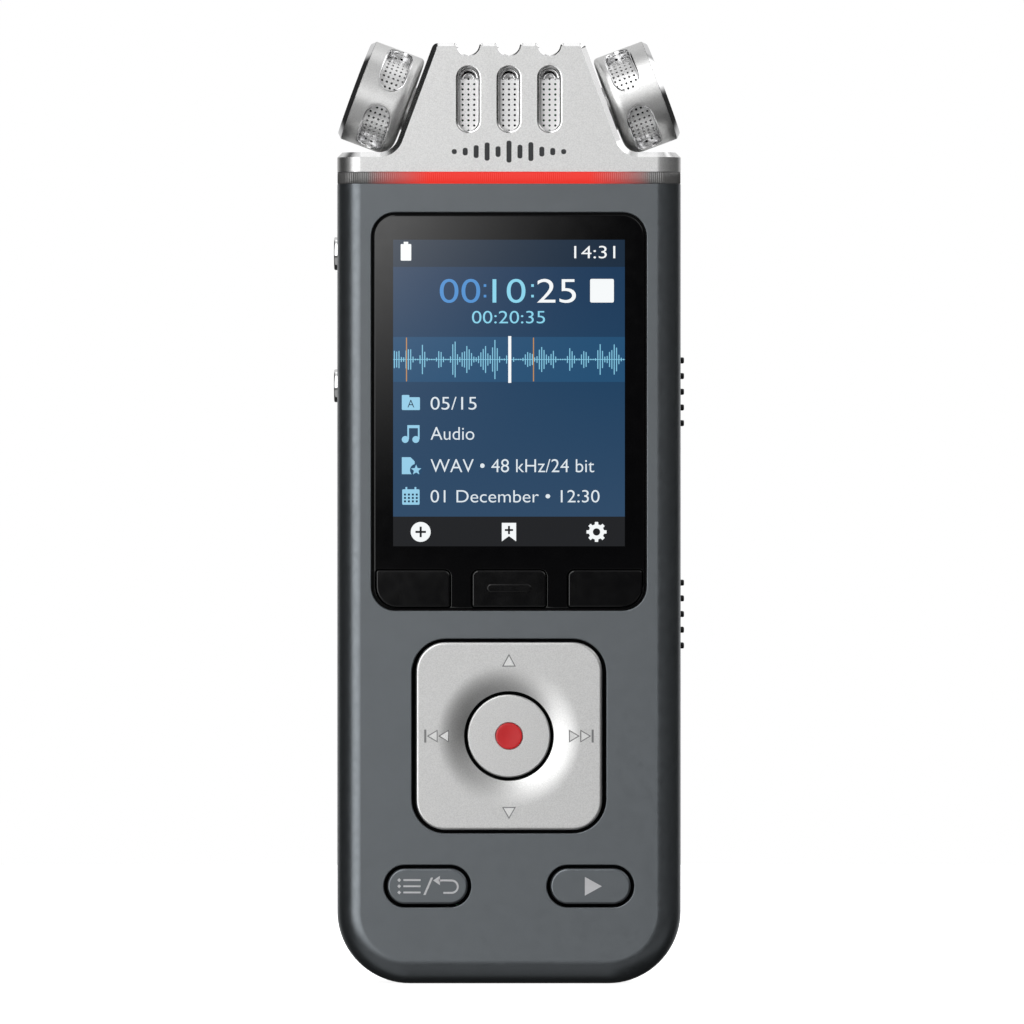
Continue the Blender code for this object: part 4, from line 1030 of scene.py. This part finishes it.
def head_outline():
    """Half of the front view from the shoulder to the middle: points, outward directions, bevel shares."""
    lean, lean_angle = FLANK_LEAN, degrees(FLANK_LEAN)
    line = []

    def arc(centre, radius, start, end, steps, share, last_share=None, outward=1):
        """Angles are in degrees; outward is -1 where the arc is hollow."""
        shares = np.linspace(share, share if last_share is None else last_share, steps + 1)
        for angle, part in zip(sweep(steps, start, end), shares):
            way = np.array(polar((0, 0), 1, angle))
            line.append((centre + radius * way, outward * way, part))

    fillet_z = SHOULDER_TOP + HEAD_FILLET
    fillet_x = flank_x(fillet_z) + HEAD_FILLET / cos(lean)
    arc((fillet_x, fillet_z), HEAD_FILLET, 270, 180 + lean_angle, 16, 1.0, outward=-1)
    corner = FLANK_TOP_X - HEAD_TOP_CORNER * tan((pi / 2 - lean) / 2)
    arc((corner, HEAD.hi.z - HEAD_TOP_CORNER), HEAD_TOP_CORNER, lean_angle, 90, 6, 1.0, TOP_SHARE)
    drop = NOTCH_DEPTH - NOTCH_RADIUS
    sink = LAND_CORNER - drop
    across = sqrt((NOTCH_RADIUS + LAND_CORNER) ** 2 - sink ** 2)
    dip = degrees(atan2(sink, across))
    land = HEAD.hi.z - LAND_CORNER
    for middle in (SLOT_PITCH, 0.0):
        centre = (middle, HEAD.hi.z - drop)
        for x in (line[-1][0][0] - LAND_SUPPORT, middle + across + LAND_SUPPORT):
            line.append((np.array((x, HEAD.hi.z)), np.array((0.0, 1.0)), TOP_SHARE))
        arc((middle + across, land), LAND_CORNER, 90, 180 - dip, 6, TOP_SHARE, NOTCH_SHARE)
        if middle:
            arc(centre, NOTCH_RADIUS, -dip, -180 + dip, 24, NOTCH_SHARE, outward=-1)
            arc((middle - across, land), LAND_CORNER, dip, 90, 6, NOTCH_SHARE, TOP_SHARE)
        else:
            arc(centre, NOTCH_RADIUS, -dip, -90, 12, NOTCH_SHARE, outward=-1)
    return line


def head_form():
    """The head's solid form: beveled front and back, its upright corners round like the body's."""
    bevel, corner, steps = HEAD_BEVEL, BODY_EDGE, 14
    start = HALF_WIDTH - corner
    half_line = head_outline()

    def ring_at(inset, deep, side, top):
        """Side and top are (x, depth) of the upright corner under and over its bevel."""
        half = [(*side, HEAD.lo.z), (*side, SHOULDER_TOP - bevel),
                (*top, SHOULDER_TOP - bevel if inset else SHOULDER_TOP)]
        for point, outward, share in half_line:
            x, z = point - outward * inset * share
            half.append((x, deep * share if deep == bevel else deep, z))
        return half + [(-x, depth, z) for x, depth, z in reversed(half[:-1])]

    rings = [ring_at(bevel, 0.0, (start, 0.0), (start, 0.0)),
             ring_at(0.0, bevel, (start, 0.0), (start, bevel))]
    for side, over in list(zip(quarter_round(corner, steps), quarter_round(corner - bevel, steps)))[1:]:
        top = (HALF_WIDTH - bevel - over[0], bevel + over[1])
        rings.append(ring_at(0.0, top[1], (HALF_WIDTH - side[0], side[1]), top))
    front = [[(x, FRONT + depth, z) for x, depth, z in ring] for ring in rings]
    back = [[(x, BACK - depth, z) for x, depth, z in ring] for ring in reversed(rings)]
    shape = Shape().loft(front + back, [1] + [0] * (2 * len(rings) - 3) + [1])
    for number, face in enumerate(shape.faces):
        xs, _, zs = zip(*(shape.points[i] for i in face))
        on_corner = min(abs(x) for x in xs) >= start - HAIR
        if on_corner and max(zs) > SHOULDER_TOP - HAIR > min(zs):
            shape.finishes[number] = 1
    shape.face(range(len(rings[0])))
    shape.face(range(len(shape.points) - len(rings[0]), len(shape.points)))
    return shape.build("head_shell_fine", silver, edge_polish)


def head_shell():
    """A cast block with polished edges, slotted front and back, hollow behind."""
    obj = head_form()
    inset, seat_radius, seat_depth = 1.75, 3.15, 9.5
    low, high = SHOULDER_TOP - HEAD_WALL, HEAD.hi.z - NOTCH_DEPTH - 0.9
    brim = HALF_WIDTH - 2 * HEAD_WALL
    hollow = [(brim, HEAD.lo.z - 1), (brim, low), (flank_x(low) - inset, low), (flank_x(high) - inset, high)]
    hollow += [(-u, v) for u, v in reversed(hollow)]
    cutters = [Shape().prism(hollow, FRONT + HEAD_WALL, BACK - HEAD_WALL), Shape()]
    for place in (-1, 0, 1):
        slot = rounded(SLOT_WIDTH, SLOT_TOP - SLOT_BOTTOM - 0.3, SLOT_WIDTH / 2 - HAIR,
                       (place * SLOT_PITCH, (SLOT_TOP + SLOT_BOTTOM) / 2), 12)
        for face, view in ((FRONT, facing), (-BACK, from_back)):
            opening(cutters[-1], slot, face, face + 2 * HEAD_WALL, 0.36, view, 4, lip_finish=1)
    seat = [(0.0, 0.0), (seat_radius, 0.0), (seat_radius, -seat_depth), (0.0, -seat_depth)]
    cutters += [turn(seat, pod_axis(sign) @ Matrix.Translation((0, 0, -3.6)), 48) for sign in (-1, 1)]
    for cutter in cutters:
        carve(obj, cutter.build("cutter", silver, edge_polish))
    place_piece(obj, "satin_silver", "head_shell")


def slot_arches():
    """Two polished arches behind the top of each slot, where the sheet curls away."""
    shape, wire = Shape(), circle(0.2, steps=12)
    for side, face in ((1, FRONT), (-1, BACK)):
        for place in (-1, 0, 1):
            for radius, level, depth in ((1.16, 120.15, 1.75), (0.72, 120.0, 2.2)):
                rings = []
                for angle in sweep(24, 0, 180):
                    x, z = polar((place * SLOT_PITCH, level), radius, angle)
                    rings.append([(x + u * cos(angle), face + side * depth + v, z + u * sin(angle))
                                  for u, v in wire.points])
                shape.loft(rings, ends="capped")
    place_piece(shape.build("slot_arches", polished, weighted=False), "polished_steel")


def level_mark():
    """A plain sound-level mark printed under the slots."""
    shape = Shape()
    heights = (0.66, 1.0, 1.7, 2.4, 1.4, 2.9, 1.8, 2.5, 1.3, 0.95, 0.66)
    width, corner, pitch, z = 0.66, 0.27, 1.45, 110.35
    for number, height in enumerate(heights):
        x = (number - (len(heights) - 1) / 2) * pitch
        plate(shape, rounded(width, height, corner, (x, z), 5), FRONT - 0.012, FRONT + 0.1)
    place_piece(shape.build("level_mark", print_dark, weighted=False), "dark_plastic")


def perforated(columns, rows, u_pitch, v_pitch, radius, place):
    """Front of a sheet with a round hole in each cell; place maps (u, v) to a point."""
    shape, sides = Shape(), 16
    for column in range(columns):
        for row in range(rows):
            u, v = (column + 0.5) * u_pitch, (row + 0.5) * v_pitch
            rim, hole = [], []
            for c, s in circle(1.0, steps=sides).points:
                reach = 0.5 / max(abs(c), abs(s))
                rim.append(place(u + c * reach * u_pitch, v + s * reach * v_pitch))
                hole.append(place(u + c * radius, v + s * radius))
            shape.loft([rim, hole])
    return shape


def centre_grilles():
    """Perforated sheets behind the slots, whose top curls away from them."""
    pitch, row_pitch = SLOT_PITCH / 7, 0.685
    columns, rows = 19, 12
    low, bend_start, bend, most = 112.85, 119.6, 1.3, 1.2
    for side, node in ((1, "centre_grille_front"), (-1, "centre_grille_rear")):
        grille = box(node)
        y = (grille.lo.y if side > 0 else grille.hi.y) + side * 0.15

        def place(u, v):
            angle = min(max(low + v - bend_start, 0.0) / bend, most)
            z = min(low + v, bend_start) + bend * sin(angle)
            return (u - columns * pitch / 2, y + side * bend * (1 - cos(angle)), z)

        sheet = perforated(columns, rows, pitch, row_pitch, 0.15, place)
        obj = thicken(sheet.build(f"{node}_sheet", mesh_silver), SHEET)
        place_piece(obj, "mesh_silver", node)


# --------------------------------------------------------------------- pods

def pod_name(sign):
    return "right" if sign > 0 else "left"


def pod_axis(sign):
    """The pod's own frame: its Z axis leans out, square to the head's flank."""
    centre = box(f"{pod_name(sign)}_mic_capsule").mid
    return Matrix.Translation(centre) @ Matrix.Rotation(sign * (pi / 2 - FLANK_LEAN), 4, "Y")


def drum(axial, phi, sign):
    """Radius of the pod's outside at a height and an angle; its inner edge is rounder below than above."""
    fillet = POD_FILLET_TOP + (POD_FILLET - POD_FILLET_TOP) * (0.5 + 0.5 * sign * sin(phi))
    below = POD_INNER + fillet - axial
    if below <= 0:
        return POD_RADIUS
    return POD_RADIUS - fillet + sqrt(max(fillet ** 2 - below ** 2, 0.0))


def pod_shell(sign):
    """A turned drum with four milled slots, each with a polished lip and walls."""
    shape, matrix = Shape(), pod_axis(sign)
    across, up = 24, 10
    low, high, floor, lip = -3.05, 1.25, -3.2, 0.26
    slot_middle, slot_radius, core = -0.9, 1.6, 2.25
    stem, stem_core, stem_end = 3.0, 2.2, -6.2
    eighth = pi / 4

    def point(phi, axial, radius):
        return matrix @ Vector((radius * sin(phi), -radius * cos(phi), axial))

    border = []
    corners = ((-eighth, low, across), (eighth, low, up), (eighth, high, across), (-eighth, high, up))
    for (phi, axial, count), (next_phi, next_axial, _) in zip(corners, corners[1:] + corners[:1]):
        border += [(phi + (next_phi - phi) * i / count, axial + (next_axial - axial) * i / count)
                   for i in range(count)]
    border = np.array(border)

    def slot_ring(grow, middle_angle, depth=0.0, fixed=None):
        """Points round the slot, as (angle, height, radius)."""
        found = []
        for phi, axial in border:
            u, v = POD_RADIUS * sin(phi), axial - slot_middle
            nearest = min(max(u, -core), core)
            reach = (slot_radius + grow) / hypot(u - nearest, v)
            u, v = nearest + (u - nearest) * reach, slot_middle + v * reach
            radius = fixed or drum(v, middle_angle + phi, sign) - depth
            found.append((asin(u / radius), v, radius))
        return found

    for quarter in range(4):
        turned = quarter * pi / 2 + eighth
        edge, inner = (np.array(slot_ring(grow, turned, fixed=fixed))[:, :2]
                       for grow, fixed in ((lip, None), (0.0, POD_BORE)))
        rings = [[(phi, axial, drum(axial, phi + turned, sign))
                  for phi, axial in border + (edge - border) * share] for share in np.linspace(0, 1, 5)]
        outside = len(rings) - 1
        rings += [slot_ring(grow, turned, depth) for grow, depth in quarter_round(lip, 3)[1:]]
        rings += [[(*place, POD_BORE) for place in inner + (border - inner) * share] for share in (0, 0.5, 1)]
        shape.loft([[point(phi + turned, axial, radius) for phi, axial, radius in ring] for ring in rings],
                   [0] * outside + [1] * (len(rings) - 1 - outside))

    def band(profile):
        """Profile entries are (radius, height); radius None follows the drum."""
        shape.loft([[point(phi, axial, radius or drum(axial, phi, sign))
                     for phi in sweep(4 * across, 0, 360)[:-1]] for radius, axial in profile])

    top = RIM_BACK - 0.02
    band([(POD_RADIUS, high), (POD_RADIUS, top - 0.05), (POD_RADIUS - 0.05, top), (POD_BORE, top),
          (POD_BORE, high)])
    levels = [POD_INNER + POD_FILLET * (1 - sin(t)) for t in sweep(12)]
    band([(None, axial) for axial in [low] + [level for level in levels if level < low]]
         + [(stem, POD_INNER), (stem, stem_end), (stem_core, stem_end), (stem_core, floor),
            (POD_BORE, floor), (POD_BORE, low)])
    side = pod_name(sign)
    obj = shape.build(f"{side}_pod_drum", silver, polished)
    place_piece(obj, "satin_silver", f"{side}_pod_shell")


def pod(sign):
    """The drum, its polished rim, and the sleeve and the face of perforated sheet inside it."""
    pod_shell(sign)
    side, matrix = pod_name(sign), pod_axis(sign)
    front, outer, foot, step = RIM_FRONT, POD_RADIUS, 1.5, 5.3
    rim = [(outer - 0.02, RIM_BACK), (outer - 0.5, front - 0.08), (outer - 0.6, front), (5.25, front),
           (5.05, front - 0.18), (4.95, foot), (step, foot), (step, RIM_BACK)]
    obj = turn(rim, matrix, 128, ends="joined").build(f"{side}_pod_ring", polished)
    place_piece(obj, "polished_steel", f"{side}_pod_rim")

    columns, rows = 46, 6
    low, high = -2.7, 1.3
    radius, hole = SLEEVE_RADIUS - 0.1, 0.16

    def place(u, v):
        return matrix @ Vector((*polar((0, 0), radius, u / radius), low + v))

    sleeve = perforated(columns, rows, 2 * pi * radius / columns, (high - low) / rows, hole, place)
    obj = thicken(sleeve.build(f"{side}_pod_sleeve", mesh_silver), SHEET)
    place_piece(obj, "mesh_silver", f"{side}_pod_grille")

    face_radius, level, below, margin, pitch = 4.85, 2.72, 2.72 - 0.25, 0.35, 0.68
    disc = [(0.0, level), (face_radius, level), (face_radius, below), (0.0, below)]
    obj = turn(disc, matrix).build(f"{side}_face_mesh", mesh_silver)
    pins = Shape()
    cells = range(-int(face_radius / pitch), int(face_radius / pitch) + 1)
    for x, y in ((column * pitch, row * pitch) for column in cells for row in cells):
        if hypot(x, y) < face_radius - margin:
            pins.prism(circle(hole, (x, y), 10).points, level + 0.3, level - 0.6, framed(matrix))
    carve(obj, pins.build("pins", mesh_silver))
    place_piece(obj, "mesh_silver", f"{side}_face_grille")


# -------------------------------------------------------------------- sides

def jack_collars():
    for name in ("microphone", "earphone"):
        collar = box(f"{name}_jack_collar")
        axis = towards((collar.lo.x, collar.mid.y, collar.mid.z), (-1, 0, 0))
        outer, inner, length = collar.size.z / 2, 1.8, collar.size.x
        profile = [*round_edge(outer, 0.0, 0.2, 4), (outer, -length), (inner, -length), (inner, -0.25),
                   (inner + 0.1, -0.06), (inner + 0.18, 0.0)]
        obj = turn(profile, axis, 64, ends="joined").build(f"{name}_collar_fine", polished)
        place_piece(obj, "satin_silver", f"{name}_jack_collar")


def side_sliders():
    """Ribbed thumb pieces of the two slide switches."""
    for name in ("power", "mode"):
        knob = box(f"{name}_slider")
        y, z = box(f"{name}_switch").mid.y, knob.mid.z
        face, rib_pitch = -HALF_WIDTH + 0.12, 2.09
        shape = plate(Shape(), rounded(3.4, 9.8, 0.5, (y, z), 5), face, face + 2.4, 0.15, place=from_right)
        cover = rounded(4.8, 18.4, 0.3, (y, z), 3)
        plate(shape, cover, face + 2.0, face + 2.7, place=from_right)
        for number in range(-2, 3):
            rib = rounded(3.1, 0.8, 0.36, (y, z + number * rib_pitch), 6)
            plate(shape, rib, -knob.hi.x, face + 0.3, 0.16, place=from_right)
        obj = shape.build(f"{name}_knob", knob_dark)
        place_piece(obj, "dark_plastic", f"{name}_slider", body=f"{name}_knob")


def usb_socket():
    usb = box("usb_socket")
    bottom, wall, edge = usb.lo.z - 0.35, 0.3, 0.12
    outline = rounded(usb.size.x, usb.size.y, usb.size.y / 2 - HAIR, usb.mid.xy, 16)
    inner = rounded(usb.size.x - 2 * wall, usb.size.y - 2 * wall, usb.size.y / 2 - wall - HAIR,
                    usb.mid.xy, 16)
    shell = plate(Shape(), outline, bottom, usb.hi.z, edge, place=from_below).build("usb_shell", steel)
    carve(shell, opening(Shape(), inner, bottom, usb.hi.z - 1, 0.1, from_below).build("usb_cut", steel))
    place_piece(shell, "contact_steel", "usb_socket")
    tongue = plate(Shape(), rounded(6.7, 0.7, 0.2, usb.mid.xy, 4), usb.lo.z + 1.2, usb.hi.z - 0.9, edge,
                   place=from_below)
    place_piece(tongue.build("usb_tongue", dark), "dark_plastic")


def tripod_insert():
    """A threaded brass insert, flush with the back."""
    insert = box("tripod_insert")
    axis = towards((insert.mid.x, insert.hi.y, insert.mid.z), (0, 1, 0))
    outer, bore, ridge, depth, turns = insert.size.x / 2, 3.175, 0.38, 5.2, 5
    step = (depth - 0.7) / turns
    profile = [(0.0, -depth)]
    for number in range(turns):
        bottom = -depth + 0.2 + number * step
        profile += [(bore - ridge, bottom), (bore - ridge, bottom + 0.1 * step), (bore, bottom + 0.5 * step),
                    (bore - ridge, bottom + 0.9 * step)]
    profile += [(bore, -0.35), (bore + 0.3, 0.0), (outer - 0.15, 0.0), (outer, -0.15),
                (outer, -insert.size.y), (0.0, -insert.size.y)]
    place_piece(turn(profile, axis, 72).build("tripod_thread", brass), "brass", "tripod_insert")


def speaker_cloth():
    """Dark woven cloth behind the speaker slots, sagging a little."""
    middle = box("loudspeaker").mid.xz
    reach, sag, clear = 8.2, 0.12, 0.12
    rings = []
    for radius in np.linspace(0.0, reach, 12):
        y = BACK - WALL - clear - sag * cos(radius / reach * pi / 2)
        rings.append(circle(radius, middle, 48).at(0, y))
    cloth = Shape().loft(rings).build("speaker_cloth", rubber, weighted=False)
    place_piece(thicken(cloth, 0.08), "soft_rubber")


# ------------------------------------------------------- remaining CAD nodes

def finish_cad_nodes():
    finishes = (
        (lcd_glass, "lcd_panel"), (lamp, "led_strip"), (wrap, "battery"), (black_and_painted_shade, "centre_mic_capsule"),
        (board, "main_board mic_board"),
        (rubber, "nav_pivot_ring key_mat centre_mic_boot left_mic_boot right_mic_boot"),
        (steel, "dome_sheet battery_tray left_mic_capsule right_mic_capsule"),
        (dark, "loudspeaker microphone_jack earphone_jack power_switch mode_switch"),
    )
    for material, names in finishes:
        for name in names.split():
            node = frame["nodes"][name]
            node.data.materials.clear()
            node.data.materials.append(material)


# --------------------------------------------------------- stage, light, camera

def floor():
    """A pale round floor that only the camera sees, so it doesn't light the underside."""
    rings = [circle(radius, steps=96).at(0, -0.05, from_below) for radius in (0.0, 200.0, 500.0)]
    made = new_material("pale_floor", (0.9, 0.9, 0.9), 0.9, Emission_Color=(1.0, 1.0, 1.0, 1.0),
                        Emission_Strength=0.9)
    obj = Shape().loft(rings).build("floor", made, weighted=False)
    obj.visible_diffuse = obj.visible_glossy = False


def world():
    """A studio in one sky: a large soft light up and to the left, dark sides, pale behind."""
    made = bpy.data.worlds.new("studio")
    bpy.context.scene.world = made
    tree = empty_tree(made)

    def ramp(value, start, end):
        return map_range(tree, value, start, end, kind="SMOOTHSTEP")

    def window(value, low, high, soft):
        return compute(tree, "MULTIPLY", ramp(value, low - soft, low + soft),
                       ramp(value, high + soft, high - soft))

    to_degrees = 180 / pi
    x, y, z = axes(tree, "Generated")
    front = compute(tree, "MULTIPLY", y, -1.0)
    azimuth = compute(tree, "MULTIPLY", compute(tree, "ARCTAN2", x, front), to_degrees)
    elevation = compute(tree, "MULTIPLY", compute(tree, "ARCSINE", z), to_degrees)
    aside = compute(tree, "ABSOLUTE", azimuth)
    lights = (    # strength, where across, where up
        (3.1, window(azimuth, -44, -5, 5), window(elevation, -13, 69, 7)),
        (2.0, window(azimuth, 62, 128, 9), window(elevation, 22, 64, 8)),
        (0.86, ramp(elevation, 58, 78)),
        (0.8, ramp(aside, 122, 146), ramp(elevation, -30, 0)),
        (0.4, window(azimuth, -70, 8, 12), ramp(elevation, -18, -36)),
        (0.3, window(azimuth, 10, 75, 8), window(elevation, -38, -16, 6)),
        (0.62, window(azimuth, 12, 52, 8), window(elevation, 9, 56, 8)),
    )
    total = 0.03
    for strength, *shares in lights:
        total = compute(tree, "ADD", total, compute(tree, "MULTIPLY", *shares, strength))
    studio = add_node(tree, "Background", {"Strength": total})
    backdrop = add_node(tree, "Background", {"Color": (1, 1, 1, 1)})
    seen = add_node(tree, "LightPath", output="Is Camera Ray")
    mix = add_node(tree, "MixShader", {0: seen, 1: studio, 2: backdrop})
    add_node(tree, "OutputWorld", {"Surface": mix})


def soft_card(distance, height):
    """A small graded card behind the camera's upper left, which the glass reflects."""
    right, left, low, high, count = 40.0, -160.0, -12.0, 160.0, 8
    grid = [[(x, -distance, height + z) for x in np.linspace(right, left, count + 1)]
            for z in np.linspace(low, high, count + 1)]
    made = bpy.data.materials.new("graded_card")
    tree = empty_tree(made)
    x, _, z = axes(tree)
    across, up = (compute(tree, "POWER", map_range(tree, value, start * MM, end * MM), 2.0)
                  for value, start, end in ((x, 35.0, -35.0), (z, height - 10.0, height + 80.0)))
    light = add_node(tree, "Emission", {"Strength": compute(tree, "MULTIPLY", across, up, 3.0)})
    add_node(tree, "OutputMaterial", {"Surface": light})
    obj = Shape().loft(grid, closed=False).build("graded_card", made, weighted=False)
    obj.visible_camera = obj.visible_diffuse = obj.visible_shadow = False


def camera():
    """Level with the middle of the recorder, far off with a long lens."""
    distance, across, aside, lower = 1500.0, 135.7, 0.4, 0.05
    height = (cad_bounds[0].z + cad_bounds[1].z) / 2 / MM - lower
    data = bpy.data.cameras.new("camera")
    data.sensor_width = 36.0
    data.lens = data.sensor_width * (distance + FRONT) / across
    data.clip_start, data.clip_end = 0.01, 100.0
    obj = add_object("camera", data)
    obj.location = Vector((aside, -distance, height)) * MM
    obj.rotation_euler = (pi / 2, 0.0, 0.0)
    bpy.context.scene.camera = obj
    bpy.context.scene.view_settings.view_transform = "Standard"
    behind = 20.0
    soft_card(distance + behind, height)


for make in (camera, world, floor, front_housing, rear_housing, seam_lip, screws, light_band,
             lens_and_softkeys, window_gasket, screen, direction_pad, record_button, capsule_keys,
             head_shell, slot_arches, level_mark, centre_grilles):
    make()
for pod_side in (-1, 1):
    pod(pod_side)
for make in (jack_collars, side_sliders, usb_socket, tripod_insert, speaker_cloth, finish_cad_nodes):
    make()
